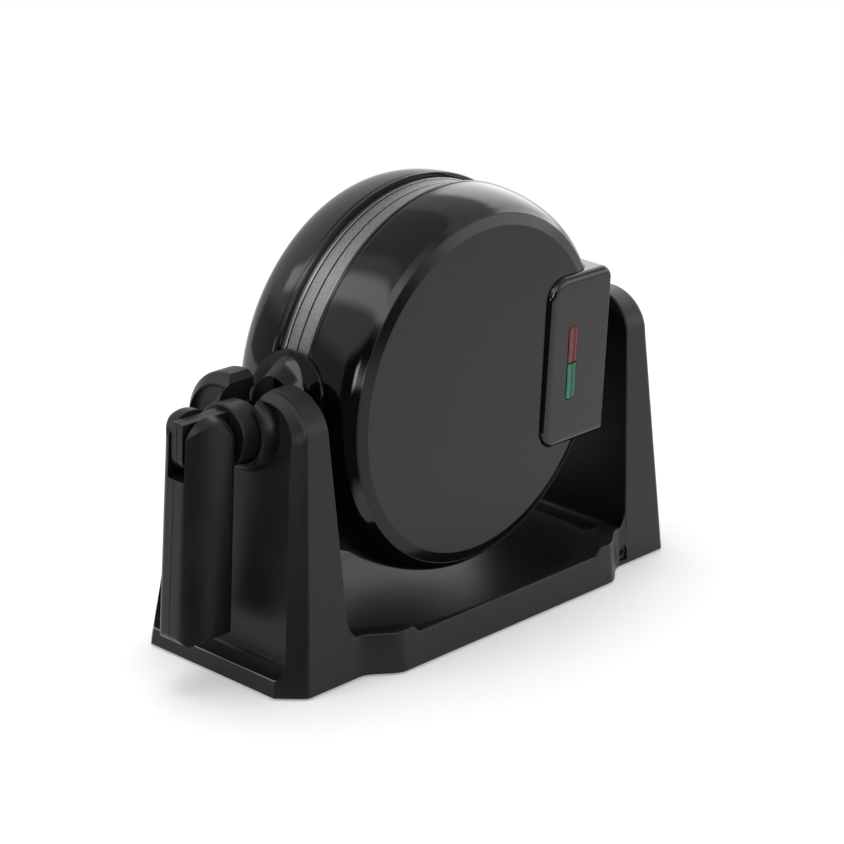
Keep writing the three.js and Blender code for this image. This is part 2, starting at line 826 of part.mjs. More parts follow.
// The room that a whole half of the drum takes up, from the parting plane out.
function halfDrum(side, gap) {
  const flank = shellFlank(gap, 7);
  const profile = [
    [0, 0],
    [lipRadius + gap, 0],
    ...flank,
    [faceBevelRadius + gap, facePlane - faceDiscThickness + gap],
    [0, facePlane - faceDiscThickness + gap]
  ];
  return turnedOnDrum(onSide(profile, side));
}

// Outline of the hinge covers in X and height above the axis, drawn in by an inset.
function hingeCoverOutline(inset, right = coverRight) {
  const corner = (x, z, r, from) => arcPoints(x, z, r, from, from + 90, r > coverRightTopRadius ? 6 : 3);
  const [l, r, b, t] = [coverLeft + inset, right - inset, coverBottom + inset, coverTop - inset];
  const [lt, lb] = [coverLeftTopRadius - inset, coverLeftBottomRadius - inset];
  const [rt, rb] = [coverRightTopRadius, coverRightRadius];
  const points = [
    ...corner(l + lb, b + lb, lb, 180),
    ...corner(r - rb, b + rb, rb, 270),
    ...corner(r - rt, t - rt, rt, 0),
    ...corner(l + lt, t - lt, lt, 90)
  ];
  return points.map(([x, z]) => [x, z + axisHeight]);
}

function makeShell(side) {
  const outer = shellFlank(0, 7);
  const inner = shellFlank(-shellWall, 7).filter(([, y]) => y < facePlane - faceBevelDepth - shellWall * 2);
  const floor = facePlane - faceDiscThickness - seatGap;
  const profile = [
    [0, floor],
    [faceBevelRadius - faceBevelDepth, floor],
    ...outer.slice().reverse(),
    ...inner,
    [faceRadius, floor - shellWall],
    [0, floor - shellWall]
  ];
  return turnedOnDrum(onSide(profile, side)).subtract(side < 0 ? lampWindow() : shaftWindow());
}

function lampWindow() {
  const [near, far] = [-facePlane, -panDepth];
  const edge = shellWall;
  return box(
    lensLeft - edge,
    lensLeft + lensWidth + edge,
    near,
    far,
    axisHeight + lensCentre - lensLength - lensGap - edge,
    axisHeight + lensCentre + lensLength + lensGap + edge
  );
}

function shaftWindow() {
  return cylinderY(dialShaftRadius + seatGap, dialX, panDepth, facePlane + overrun);
}

function makeFaceDisc(side) {
  const back = facePlane - faceDiscThickness;
  const profile = [
    [0, back],
    [faceBevelRadius - faceBevelDepth / 2, back],
    [faceBevelRadius, back + seatGap],
    [faceRadius, facePlane],
    [0, facePlane]
  ];
  const disc = turnedOnDrum(onSide(profile, side));
  const cutout = prismAlongY(hingeCoverOutline(-seatGap, coverRight + overrun), -coverPlane, coverPlane);
  return disc.subtract(cutout);
}

// Waffle plate: a rim, a bowl with pegs that press the pockets, and a cross that divides it in four.
function makePlate(side) {
  const profile = [
    [0, bowlDepth],
    [bowlFloorRadius, bowlDepth],
    [bowlMouthRadius, partingGap + bowlEdge / 2],
    [bowlMouthRadius + bowlEdge, partingGap],
    [plateRadius, partingGap],
    [plateRadius, plateRim],
    [bowlMouthRadius + plateWall, plateRim],
    [bowlFloorRadius + plateWall, bowlDepth + plateWall],
    [0, bowlDepth + plateWall]
  ];
  const plate = turnedOnDrum(onSide(profile, side));
  const pegHeight = bowlDepth - pegGap / 2 + seatGap;
  const peg = new THREE.CylinderGeometry(pegTip / Math.SQRT2, pegBase / Math.SQRT2, pegHeight, 4, 1);
  peg.rotateY(Math.PI / 4);
  if (side > 0) peg.rotateX(Math.PI);
  const pegY = (bowlDepth + pegGap / 2 + seatGap) / 2;
  const first = dividerWidth / 2 + pegPitch / 2;
  const reach = bowlFloorRadius - bowlEdge;
  const pegs = [];
  for (let i = 0; first + i * pegPitch < reach; i += 1) {
    for (let j = 0; first + j * pegPitch < reach; j += 1) {
      const [x, z] = [first + i * pegPitch, first + j * pegPitch];
      if (Math.hypot(x + pegBase / 2, z + pegBase / 2) > reach) continue;
      for (const [sx, sz] of [[1, 1], [1, -1], [-1, 1], [-1, -1]]) {
        const copy = peg.clone().translate(drumX + sx * x, side * pegY, axisHeight + sz * z);
        pegs.push(asSolid(copy));
      }
    }
  }
  const low = dividerDrop;
  const [near, far] = side < 0 ? [-bowlDepth - seatGap, -low] : [low, bowlDepth + seatGap];
  const half = dividerWidth / 2;
  const long = bowlFloorRadius + plateWall / 2;
  pegs.push(box(drumX - long, drumX + long, near, far, axisHeight - half, axisHeight + half));
  pegs.push(box(drumX - half, drumX + half, near, far, axisHeight - long, axisHeight + long));
  return wasm.Manifold.union([plate, ...pegs]);
}

// Heating element: an open ring clamped to the back of the plate, both ends turned back into the shell.
function makeElement(side) {
  const y = bowlDepth + plateWall + elementRadius + seatGap;
  const gap = THREE.MathUtils.degToRad(elementGapAngle / 2);
  const points = [];
  const steps = 20;
  const end = new THREE.Vector3(elementRing + elementLeg, 0, Math.sin(gap) * elementRing);
  points.push(new THREE.Vector3(end.x, side * y, end.z));
  points.push(new THREE.Vector3(elementRing + elementLeg / 3, side * y, end.z));
  for (let i = 1; i < steps; i += 1) {
    const angle = gap + (2 * Math.PI - 2 * gap) * i / steps;
    points.push(new THREE.Vector3(elementRing * Math.cos(angle), side * y, elementRing * Math.sin(angle)));
  }
  points.push(new THREE.Vector3(elementRing + elementLeg / 3, side * y, -end.z));
  points.push(new THREE.Vector3(end.x, side * y, -end.z));
  const path = new THREE.CatmullRomCurve3(points);
  const section = new THREE.Shape(
    arcPoints(0, 0, elementRadius, 0, 360, elementSides).slice(1).map(([u, v]) => new THREE.Vector2(u, v))
  );
  const settings = { steps: 38, bevelEnabled: false, extrudePath: path };
  const geometry = new THREE.ExtrudeGeometry(section, settings);
  geometry.translate(drumX, 0, axisHeight);
  return asSolid(geometry);
}

// The sheet metal pan that carries plate and element, with a turned rim that seats inside the shell's lip.
function makePan(side) {
  const outer = lipRadius - shellWall - panSeatGap;
  const inner = bowlMouthRadius + plateWall + panPlateGap;
  const rim = plateRim + seatGap;
  const profile = [
    [0, panDepth],
    [panFloorRadius, panDepth],
    [inner, rim + panWall],
    [inner, rim],
    [outer, rim],
    [outer, rim + panWall + panRimDepth],
    [outer - panWall, rim + panWall + panRimDepth],
    [outer - panWall, rim + panWall],
    [inner + panWall, rim + panWall],
    [panFloorRadius + panWall, panDepth + panWall],
    [0, panDepth + panWall]
  ];
  return turnedOnDrum(onSide(profile, side));
}

// Outline in X and Y of a hinge cover: flat over the face, then down the flank towards the parting plane.
function coverSection(side, outward, back) {
  const chamfer = coverPlane - Math.abs(hingeY);
  const points = [
    [coverLeft - overrun, coverPlane],
    [coverRight, coverPlane],
    [outward, coverPlane - chamfer],
    [outward, back],
    [coverRight + coverSkirtGap, back - knuckleRadius / 2],
    [coverRight + coverSkirtGap, lipPlane],
    [coverLeft - overrun, lipPlane]
  ];
  return points.map(([x, y]) => [x, y * side]);
}

function makeHingeCover(side) {
  const outward = hingeX + knuckleRadius;
  const back = Math.abs(hingeY) - knuckleRadius;
  const section = coverSection(side, outward, back);
  const low = axisHeight + coverBottom;
  const high = axisHeight + coverTop;
  let cover = prismAlongZ(section, low - overrun, high + overrun);
  const reach = coverPlane + overrun;
  const face = prismAlongY(hingeCoverOutline(0, coverRight + coverSkirtGap), -reach, reach);
  const housing = box(
    coverRight,
    outward,
    -reach,
    reach,
    axisHeight + hingeHousingBottom,
    axisHeight + hingeHousingTop
  );
  cover = cover.intersect(face.add(housing));
  cover = cover.subtract(halfDrum(side, seatGap));
  return cover;
}

function finishFrontCover() {
  let cover = makeHingeCover(-1);
  for (const direction of [1, -1]) {
    cover = cover.subtract(makeLens(direction, runningGap, overrun));
  }
  const half = lensLength + lensGap;
  cover = cover.subtract(box(
    lensLeft - seatGap,
    lensLeft + lensWidth + seatGap,
    -coverPlane + lampSkin,
    -coverPlane + lampSkin + lampPocketDepth,
    axisHeight + lensCentre - half,
    axisHeight + lensCentre + half
  ));
  cover = cover.subtract(cylinderZ(hingePinRadius + runningGap, hingeX, hingeY, 0, axisHeight * 2));
  const slot = bracketHalfHeight + partingGap;
  const clear = knuckleRadius + knuckleGap;
  return cover.subtract(box(
    hingeX - clear,
    hingeX + clear + overrun,
    hingeY - clear,
    0,
    axisHeight - slot,
    axisHeight + slot
  ));
}

// A lens with one pointed end: direction +1 points up and -1 down.
function makeLens(direction, gap, longer = 0) {
  const near = lensGap / 2 - gap;
  const far = lensLength + lensGap / 2 + gap;
  const [left, right] = [lensLeft - gap, lensLeft + lensWidth + gap];
  const middle = (left + right) / 2;
  const tip = [
    [left, far - lensPoint],
    [left + lensWidth / 5, far - lensPoint / 4],
    [middle, far],
    [right - lensWidth / 5, far - lensPoint / 4],
    [right, far - lensPoint]
  ];
  const outline = [[right, near], ...tip.reverse(), [left, near]];
  const turned = outline.map(([x, z]) => [x, axisHeight + lensCentre + direction * z]);
  const front = -coverPlane - lensProud;
  return prismAlongY(turned, front - longer, front + lensThickness + longer);
}

function finishRearCover() {
  let cover = makeHingeCover(1);
  cover = cover.subtract(cylinderY(dialShaftRadius + runningGap, dialX, 0, coverPlane + overrun));
  const high = bracketHalfHeight + seatGap;
  return cover.subtract(box(
    bracketInner - bracketReach - seatGap,
    bracketOuter + overrun,
    0,
    bracketBack + seatGap,
    axisHeight - high,
    axisHeight + high
  ));
}

// The bracket that joins the lower shell to the pivot and holds the hinge pin over the lid's edge.
function makeBracket() {
  const half = bracketHalfHeight;
  const knuckle = arcPoints(hingeX, hingeY, knuckleRadius, knuckleStartAngle, 360, 8);
  const outline = [
    ...knuckle,
    [bracketOuter, hingeY + knuckleRadius],
    [bracketOuter, -pivotBossRadius],
    [bracketOuter + bracketBlockDepth, -pivotBossRadius + knuckleRadius],
    [bracketOuter + bracketBlockDepth, bracketBack - knuckleRadius],
    [bracketOuter, bracketBack],
    [bracketInner - bracketReach, bracketBack],
    [bracketInner - bracketReach, lipPlane],
    [bracketInner, lipPlane],
    [bracketInner, hingeY + knuckleRadius]
  ];
  let bracket = prismAlongZ(outline, axisHeight - half, axisHeight + half);
  bracket = bracket.subtract(halfDrum(1, seatGap));
  bracket = bracket.add(cylinderX(pivotBossRadius, bracketOuter, pivotBossEnd));
  bracket = bracket.subtract(cylinderZ(hingePinRadius + seatGap / 2, hingeX, hingeY, 0, axisHeight * 2));
  const socket = bracketOuter + pivotSocket;
  return bracket.subtract(cylinderX(pivotRadius + seatGap, socket, pivotBossEnd + overrun));
}

for (const [side, name] of [[1, 'lower'], [-1, 'lid']]) {
  addPiece(`${name}_shell`, makeShell(side), paint.glossBlack);
  addPiece(`${name}_face_disc`, makeFaceDisc(side), paint.faceGrey);
  addPiece(`${name}_waffle_plate`, makePlate(side), paint.castAluminium);
  addPiece(`${name}_heating_element`, makeElement(side), paint.heaterSheath);
  addPiece(`${name}_reflector_pan`, makePan(side), paint.steel);
}

addPiece('lid_lamp_cover', finishFrontCover(), paint.glossBlack);
addPiece('lower_dial_cover', finishRearCover(), paint.glossBlack);
addPiece('red_lens', makeLens(1, 0), paint.redLens);
addPiece('green_lens', makeLens(-1, 0), paint.greenLens);
addPiece('hinge_bracket', makeBracket(), paint.glossBlack);
addPiece('hinge_pin', cylinderZ(
  hingePinRadius,
  hingeX,
  hingeY,
  axisHeight + hingeHousingBottom + hingePinInset,
  axisHeight + hingeHousingTop - hingePinInset,
  20
), paint.steel);
const retainerX = recessBackX + bushLength + seatGap;
addPiece('pivot_tube', tube(
  pivotRadius,
  pivotRadius - pivotWall,
  bracketOuter + pivotSocket + seatGap,
  retainerX + retainerThickness + pivotTail
), paint.steel);
addPiece(
  'pivot_retainer',
  tube(pivotRadius + retainerWidth, pivotRadius + seatGap, retainerX, retainerX + retainerThickness),
  paint.steel
);

// Lamp board in the pocket of the lamp cover, close behind the lenses
const boardFront = -coverPlane - lensProud + lensThickness + seatGap;
const boardHalf = lensLength + lensGap - seatGap;
addPiece('lamp_board', box(
  lensLeft,
  lensLeft + lensWidth,
  boardFront,
  boardFront + lampBoardThickness,
  axisHeight + lensCentre - boardHalf,
  axisHeight + lensCentre + boardHalf
), paint.board);

// Browning dial on the lower half, and the thermostat that its shaft turns
function makeDial() {
  const shape = [];
  for (let i = 0; i < dialRibs * 2; i += 1) {
    const angle = Math.PI * i / dialRibs;
    const radius = dialRadius - (i % 2) * dialRibDepth;
    shape.push([dialX + radius * Math.cos(angle), axisHeight + radius * Math.sin(angle)]);
  }
  const foot = coverPlane + seatGap;
  const grip = prismAlongY(shape, foot, foot + dialHeight);
  const pointer = box(
    dialX - dialRibDepth,
    dialX + dialRibDepth,
    foot + dialHeight - dialRibDepth,
    foot + dialHeight + dialRibDepth / 2,
    axisHeight + dialShaftRadius,
    axisHeight + dialRadius - dialRibDepth * 2
  );
  const shaftFoot = panDepth + panWall + thermostatDepth + seatGap;
  const shaft = cylinderY(dialShaftRadius, dialX, shaftFoot, foot + dialRibDepth, axisHeight, 16);
  return grip.add(pointer).add(shaft);
}

addPiece('browning_dial', makeDial(), paint.satinBlack);
addPiece('thermostat', cylinderY(
  thermostatSize / 2,
  dialX,
  panDepth + panWall + seatGap,
  panDepth + panWall + thermostatDepth,
  axisHeight,
  24
), paint.steel);

// Neck and handle

// Half outline of the neck: a full oval, flat along the parting plane.
function neckRing(side, x, halfHeight, depth, fullness = neckFullness) {
  const steps = 12;
  const ring = [];
  for (let i = 0; i <= steps; i += 1) {
    const angle = Math.PI * (i / steps - 1 / 2);
    const [c, s] = [Math.abs(Math.cos(angle)), Math.sin(angle)];
    const stretch = (c ** fullness + Math.abs(s) ** fullness) ** (-1 / fullness);
    const y = partingGap / 2 + depth * c * stretch;
    ring.push(new THREE.Vector3(x, side * y, axisHeight + halfHeight * s * stretch));
  }
  return ring;
}

// Fairing that swells from the tower to the shell, with a thin flange that follows the shell.
function makeNeck(side) {
  const rings = neckSwellShares.map(([along, higher, thicker]) => neckRing(
    side,
    neckEndX + neckReach * along,
    neckEndHeight + neckRise * higher,
    neckEndThickness + neckSpread * thicker
  ));
  let neck = loft(rings.reverse(), onYZ);
  const flange = loft([
    neckRing(
      side,
      neckEndX + neckReach + overrun,
      neckFlangeHeight + neckFlangeFlare,
      neckFlangeHalfWidth + neckFlangeFlare,
      neckFlangeFullness
    ),
    neckRing(side, neckEndX, neckFlangeHeight, neckFlangeHalfWidth, neckFlangeFullness)
  ], onYZ);
  neck = neck.add(flange.intersect(halfDrum(side, seatGap + neckFlangeThickness)));
  return neck.subtract(halfDrum(side, seatGap));
}

// The side of the handle in X and height above the axis: straight inside and flared outside.
function handleSide() {
  const half = handleDepth / 2;
  const outer = foldX - half;
  const inner = foldX + half;
  const round = handleEndRounding;
  const points = [
    [outer, handleDepth],
    [inner, handleDepth],
    ...arcPoints(inner - round, -handleBottom + round, round, 0, -90, 5),
    ...arcPoints(outer - handleFlare + round, -handleBottom + round, round, 270, 180, 5)
  ];
  return points.map(([x, z]) => [x, z + axisHeight]);
}

// The room of the handle: a round top that falls away towards its sides, and all that is below the fold.
function handleRoom() {
  const crown = handleDepth / 2 + handleCrownRise;
  const rim = handleCrownShares.map(([out, drop]) => new THREE.Vector2(
    crown - handleCrownDrop * drop,
    handleHalfWidth * out
  ));
  const mirrored = rim.map((p) => new THREE.Vector2(p.x, -p.y)).reverse();
  const last = rim.at(-1).y;
  const outline = [new THREE.Vector2(0, -last), ...mirrored, ...rim, new THREE.Vector2(0, last)];
  const round = new THREE.LatheGeometry(outline, 40, Math.PI / 40);
  round.translate(foldX, 0, axisHeight);
  const below = box(
    foldX - handleDepth,
    foldX + handleDepth,
    -handleDepth,
    handleDepth,
    axisHeight - handleBottom * 2,
    axisHeight
  );
  return asSolid(round).add(below);
}

// Section of the handle in X and Y: a narrow flat outside, full sides, and rounded inner edges.
function handleSection(outer) {
  const inner = foldX + handleDepth / 2;
  const shoulder = inner - handleInnerRounding;
  const belly = shoulder - outer;
  const side = [];
  for (let i = 0; i <= 6; i += 1) {
    const angle = Math.PI / 2 * i / 6;
    const y = handleFaceHalfWidth + (handleHalfWidth - handleFaceHalfWidth) * Math.sin(angle);
    side.push([shoulder - belly * Math.cos(angle), y]);
  }
  const corner = handleHalfWidth - handleInnerRounding;
  side.push(...arcPoints(shoulder, corner, handleInnerRounding, 90, 0, 4).slice(1));
  return [...side, ...side.map(([x, y]) => [x, -y]).reverse()];
}

function makeHandleHalf(side) {
  const outer = foldX - handleDepth / 2;
  const ring = (x, z) => handleSection(x).map(([px, py]) => new THREE.Vector3(px, py, axisHeight + z));
  const top = handleDepth / 2 + handleCrownRise + seatGap;
  const foot = ring(outer - handleFlare, -handleBottom - seatGap);
  let half = loft([foot, ring(outer, 0), ring(outer, top)], onXY);
  half = half.intersect(prismAlongY(handleSide(), -handleHalfWidth * 2, handleHalfWidth * 2));
  half = half.intersect(handleRoom());
  const round = handleEndRounding;
  const end = handleHalfWidth + partingGap;
  const front = [
    [end, handleDepth],
    ...arcPoints(end - round, -handleBottom + round, round, 0, -90, 5),
    ...arcPoints(-end + round, -handleBottom + round, round, 270, 180, 5),
    [-end, handleDepth]
  ];
  const lifted = front.map(([y, z]) => [y, z + axisHeight]);
  half = half.intersect(prismAlongX(lifted, foldX - handleDepth, foldX + handleDepth));
  const [near, far] = side < 0 ? [-handleDepth, -partingGap / 2] : [partingGap / 2, handleDepth];
  half = half.intersect(box(
    foldX - handleDepth,
    foldX + handleDepth,
    near,
    far,
    axisHeight - handleBottom * 2,
    axisHeight + handleDepth
  ));
  const slotDepth = tongueRadius + tongueClearance;
  const slotHalf = tongueHalf + (side < 0 ? tongueFrontGap : tongueRearGap);
  half = half.subtract(box(
    foldX - handleDepth,
    foldX + handleDepth,
    -slotHalf,
    slotHalf,
    axisHeight - slotDepth,
    axisHeight + handleDepth
  ));
  const pinRoom = handlePinHalf + seatGap;
  return half.subtract(cylinderY(handlePinRadius + runningGap, foldX, -pinRoom, pinRoom));
}

// Half of the hub: a journal for the saddle, a round head and the tongue that the handle folds on.
function makeHub(side) {
  let hub = cylinderX(journalRadius, hubStart - overrun, neckEndX - seatGap);
  hub = hub.add(cylinderX(hubCollarRadius, hubCollarStart - overrun, hubStart));
  hub = hub.add(cylinderX(hubRadius, hubEnd, hubCollarStart));
  hub = hub.add(cylinderY(tongueRadius, foldX, -tongueHalf, tongueHalf));
  hub = hub.add(box(
    foldX,
    hubEnd + overrun,
    -tongueHalf,
    tongueHalf,
    axisHeight - tongueRadius,
    axisHeight + tongueRadius
  ));
  hub = hub.subtract(cylinderY(handlePinRadius + seatGap, foldX, -handleHalfWidth, handleHalfWidth));
  const [near, far] = side < 0 ? [-handleDepth, -partingGap / 2] : [partingGap / 2, handleDepth];
  const [low, high] = [axisHeight - handleDepth, axisHeight + handleDepth];
  return hub.intersect(box(foldX - handleDepth, neckEndX, near, far, low, high));
}

for (const [side, name] of [[-1, 'front'], [1, 'rear']]) {
  addPiece(`neck_${name}`, makeNeck(side), side < 0 ? paint.glossBlack : paint.satinBlack);
  addPiece(`hub_${name}`, makeHub(side), paint.satinBlack);
  addPiece(`handle_${name}`, makeHandleHalf(side), paint.satinBlack);
}
const pin = cylinderY(handlePinRadius, foldX, -handlePinHalf, handlePinHalf, axisHeight, 16);
addPiece('handle_pin', pin, paint.steel);

// The origin is under the middle of the whole length.
part.updateMatrixWorld(true);
const extent = new THREE.Box3().setFromObject(part);
part.position.x = -(extent.min.x + extent.max.x) / 2;

export default part;
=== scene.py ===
# Looks of the rotating waffle maker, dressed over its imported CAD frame.
# Shapes are drawn in millimetres in the drawing's own axes and moved into the row frame by add_piece.

from math import cos, hypot, pi, radians, sin, sqrt, tan

import bpy
import bmesh
from mathutils import Matrix, Vector


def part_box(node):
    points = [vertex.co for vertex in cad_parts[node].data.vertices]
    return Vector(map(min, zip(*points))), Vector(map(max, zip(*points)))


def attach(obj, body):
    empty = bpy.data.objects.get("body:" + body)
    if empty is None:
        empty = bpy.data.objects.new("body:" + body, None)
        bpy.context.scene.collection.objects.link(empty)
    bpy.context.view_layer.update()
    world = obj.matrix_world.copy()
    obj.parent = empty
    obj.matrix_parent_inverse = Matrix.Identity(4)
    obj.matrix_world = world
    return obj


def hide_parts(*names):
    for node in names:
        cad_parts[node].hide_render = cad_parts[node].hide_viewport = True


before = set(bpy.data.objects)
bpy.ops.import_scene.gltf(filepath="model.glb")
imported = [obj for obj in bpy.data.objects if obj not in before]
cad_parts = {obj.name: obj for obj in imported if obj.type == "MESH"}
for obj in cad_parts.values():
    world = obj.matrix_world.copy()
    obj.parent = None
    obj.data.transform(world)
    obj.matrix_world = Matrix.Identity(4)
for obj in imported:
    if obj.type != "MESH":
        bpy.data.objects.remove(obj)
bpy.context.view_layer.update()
scene = bpy.context.scene

MM = 0.001

# Cutters run PAST what they cut, touching pieces keep GAP or SEAM, and FAR reaches beyond the handle
PAST = 5
GAP = 0.3
SEAM = 0.15
FAR = 30

# Base
TRAY_RIM = 18.2
AXIS = 129.3
ARCH_RADIUS = 23.9
TOWER_TOP = AXIS + ARCH_RADIUS
FOOT_HALF = 57.8
CREASE_HALF = 42.1
CREASE_BELOW = 0.7
INNER_FOOT, INNER_AXIS = 112.9, 120.4
SHOULDER_FOOT, SHOULDER_AXIS = 147.0, 137.5
END_FOOT, END_AXIS = 159.3, 142.85
FOOT_BEVEL, AXIS_BEVEL = 12.3, 5.3
INNER_ROUNDING = 1.0
SHOULDER_RUN, SHOULDER_SHARE = 1.8, 0.3
WALL = 2.7
BAY_LEDGE, BAY_RIM, BAY_FILLET, BAY_SPREAD = 9.0, 0.6, 6.0, 4.8
BAY_CORNER = 6.5
BAY_FLOOR_RISE = 0.75
MOUTH_BEVEL, MOUTH_DEPTH = 0.4, 0.45
RECESS_ARCH, RECESS_RIM, RECESS_FLOOR, RECESS_FILLET = 15.3, 0.8, 13.0, 4.0
HINGE_RECESS, HANDLE_RECESS = 8.3, 3.2
RECESS_BACK = INNER_AXIS + HINGE_RECESS
TRAY_HALF_WIDTH = 69.3
TRAY_SHOULDER = 22.0
TRAY_RIM_HALF = 73.0
TRAY_SLOPE = 4.5
TRAY_ROUNDING = 1.1
TROUGH_FLOOR, TROUGH_RIM = 6.6, 2.6
SWEEP_START, SWEEP_END = 108.3, 84.6
LEAN = (FOOT_HALF - CREASE_HALF) / AXIS
FOOT_FILLET_HEIGHT, FOOT_FILLET_REACH = 34, 12
SLOT_HALF, SLOT_FLARE = 11.7, 8.5
PIVOT_RADIUS = 7.0
BOSS_RADIUS = PIVOT_RADIUS + 2 + WALL
BUSH_LENGTH, BUSH_HOLE = 6.6, 9.55
GLAND_X, GLAND_HEIGHT, GLAND_HALF, GLAND_DEPTH = SWEEP_START + 3, 8, 3, 5
GLAND_FACE = FOOT_HALF - LEAN * 11 - 0.8

# Underside cover
COVER_INSET, COVER_SEAT = 2.3, 2.4
VENTS = {"Columns": 14, "Rows": 4, "Pitch": 10.0, "Middle": (0.0, 0.0, 0.0), "Reach": 200.0}
SCREWS = {"Columns": 4, "Rows": 2, "Pitch": 70.0, "Middle": (0.0, 0.0, 0.0), "Reach": 200.0}

# Drum
DRUM_X = -4.4
FACE = 44.1
LIP_RADIUS = 106.72
LIP_PLANE = 10.5
BEVEL_RADIUS, FACE_RADIUS, BEVEL_DEPTH = 94.0, 90.0, 2.2
FLANK_FOOT = FACE - BEVEL_DEPTH
SHELL_WALL = 2.4
DISC_THICKNESS = 2.3

# The shell's flank ends at FLANK_TURN degrees of its oval and meets a sharper edge ring there
FLANK_TURN = 68
EDGE_RADIUS, EDGE_PLANE = 96.2, 42.1
EDGE_FLOOR = EDGE_PLANE - 1.6

# Bead of the shell's lip: in from its radius, out from its plane
LIP_BEAD = (
    (0.9, 0), (0.35, 0.1), (0.05, 0.5), (0, 1.0), (0, 1.7), (0.12, 2.1), (0.6, 2.3), (0.6, 2.7), (0.25, 2.95),
)
BEAD_END = 3.2

# Hinge covers
COVER_LEFT, COVER_RIGHT, COVER_TOP, COVER_BOTTOM = 45.0, 95.4, 50.3, -47.0
COVER_FACE = 47.1
COVER_SIDE = 96.6
COVER_OUTER, COVER_KNEE, COVER_BACK = 106.9, 33.3, 29.4
COVER_CORNERS = {"top_left": 13, "low_left": 11, "low_right": 2.2, "top_right": 6.5}
COVER_ROUND_WIDTH, COVER_ROUND_DEPTH = 5.0, 3.2
HOUSING_LOW, HOUSING_TOP = -42.0, 38.0
HINGE_X, HINGE_Y = 103.0, -33.3
BRACKET_HALF, BRACKET_ROOM = 16.5, 16.8

# Lamps
LAMP_Z = AXIS + 0.2
LENS_LEFT, LENS_RIGHT, LENS_NEAR, LENS_FAR = 61.7, 69.1, 0.5, 21.1
LENS_THICKNESS = 4.4
WINDOW_HALF, LAMP_ROOM_HALF = 24, 21.6

# Dial
DIAL_X, DIAL_FACE = 70, 47.4
DIAL_RADIUS, DIAL_TOP = 13.2, 54.4
TICK_RADIUS, NUMBER_RADIUS, NUMBER_SIZE = 16.4, 20.6, 5.2
SCALE_START, TICK_STEP, NUMBER_STEP = -45, 27, 67.5
PRINT_HALF = 0.06

# Waffle plates, as (radius, distance from the parting plane)
BOWL_RADIUS, BED, PEG_HEIGHT = 94.6, 17.3, 14.5
PLATE_PROFILE = [
    (0, 17.0), (86.8, 17.0), (87.6, 16.8), (88.2, 16.2), (93.7, 1.4), (94.1, 0.8), (94.7, 0.4), (95.4, 0.3),
    (102.6, 0.3), (103.2, 0.5), (103.3, 0.9), (103.3, 6.8), (102.9, 7.2), (97, 7.2), (91, 20), (0, 20),
]
RAIL_LENGTH, RAIL_HALF, RAIL_TOP = 88.5, 2.0, 5
PEG_FIELD = {"Columns": 4, "Rows": 4, "Pitch": 20.0, "Middle": (42.0, 42.0, 0.0), "Reach": 76.0}
PEG_CORNER = 1.5
PEG_STEPS = ((7.75, 0), (6.55, 13.7), (6.2, 14.25), (5.5, PEG_HEIGHT))

# Pivot, as (radius, place along the axis)
TUBE_PROFILE = [(4.5, 111.4), (6.7, 111.4), (7, 111.7), (7, 137.2), (6.6, 137.6), (4.5, 137.6)]
BUSH_PROFILE = [
    (7.25, 124.8), (10.6, 124.8), (10.85, 125.1), (10.85, 126.4),
    (10.6, 126.6), (9.25, 126.6), (9.25, 135.3), (7.25, 135.3),
]

# Neck and handle
NECK_END = -119.6
NECK_LENGTH = 19
NECK_HEIGHTS = [(0, 23.0), (6.65, 26.85), (10.07, 30.04), (12.16, 31.8), (13.68, 32.57), (NECK_LENGTH, 34.0)]
NECK_DEPTHS = [(0, 15.5), (6.65, 16.19), (10.07, 17.8), (12.16, 20.45), (13.68, 24.47), (NECK_LENGTH, 27.0)]
HUB_START, HUB_COLLAR, HUB_END = -139.4, -142.5, -155.6
HUB_RADIUS, COLLAR_RADIUS, JOURNAL_RADIUS = 16.6, 15.0, 9
FOLD_X = -172.5
HANDLE_DEPTH = 30.0
HANDLE_LENGTH = 105.0
HANDLE_HALF = 14.6
HANDLE_TAPER = 2.6
HANDLE_CORNER, HANDLE_INNER_ROUND = 7, 5
HANDLE_CROWN = HANDLE_DEPTH / 2 + 1.3
TONGUE_HALF, TONGUE_REACH, TONGUE_ROUND = 4.2, 14, 8
SLOT_FRONT, SLOT_REAR, SLOT_FLOOR = 6.8, 4.6, 15.5

# How far the handle's round top falls, by distance from its middle
FRONT_FALL = [
    (5.9, 0), (7.4, 0.25), (9.64, 1.03), (11.0, 1.45), (11.97, 1.78), (12.8, 2.35), (13.5, 3.02), (14.9, 5.4),
]
REAR_FALL = [
    (5.9, 0), (8.6, 0.05), (10.4, 0.3), (11.6, 0.75), (12.6, 1.45), (13.4, 2.4), (14.1, 3.7), (14.9, 5.4),
]

base_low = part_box("base_housing")[0]
SHIFT = base_low.x / MM + END_FOOT
STAND_OFF = base_low.z / MM
TO_ROW = Matrix.Diagonal((MM, MM, MM, 1)) @ Matrix.Translation((SHIFT, 0, STAND_OFF))


# Outlines

def shares(steps):
    """Even steps from 0 to 1."""
    return [i / steps for i in range(steps + 1)]


def corner_steps(angles):
    """The two gaps between a corner and its rounding of radius 1, at each angle in degrees."""
    return [(1 - sin(radians(a)), 1 - cos(radians(a))) for a in angles]


def arc(cx, cy, radius, start, end, steps):
    turns = [radians(start + (end - start) * i / steps) for i in range(steps + 1)]
    return [(cx + radius * cos(turn), cy + radius * sin(turn)) for turn in turns]


def bend(start, corner, end, steps):
    """A curve that leaves start towards the corner and reaches end from it."""
    return [start * (1 - t) ** 2 + corner * 2 * t * (1 - t) + end * t * t for t in shares(steps)]


def with_mirror(points, sx, sy):
    """An open outline and then its mirror image, back to the start."""
    return points + [(sx * x, sy * y) for x, y in reversed(points)]


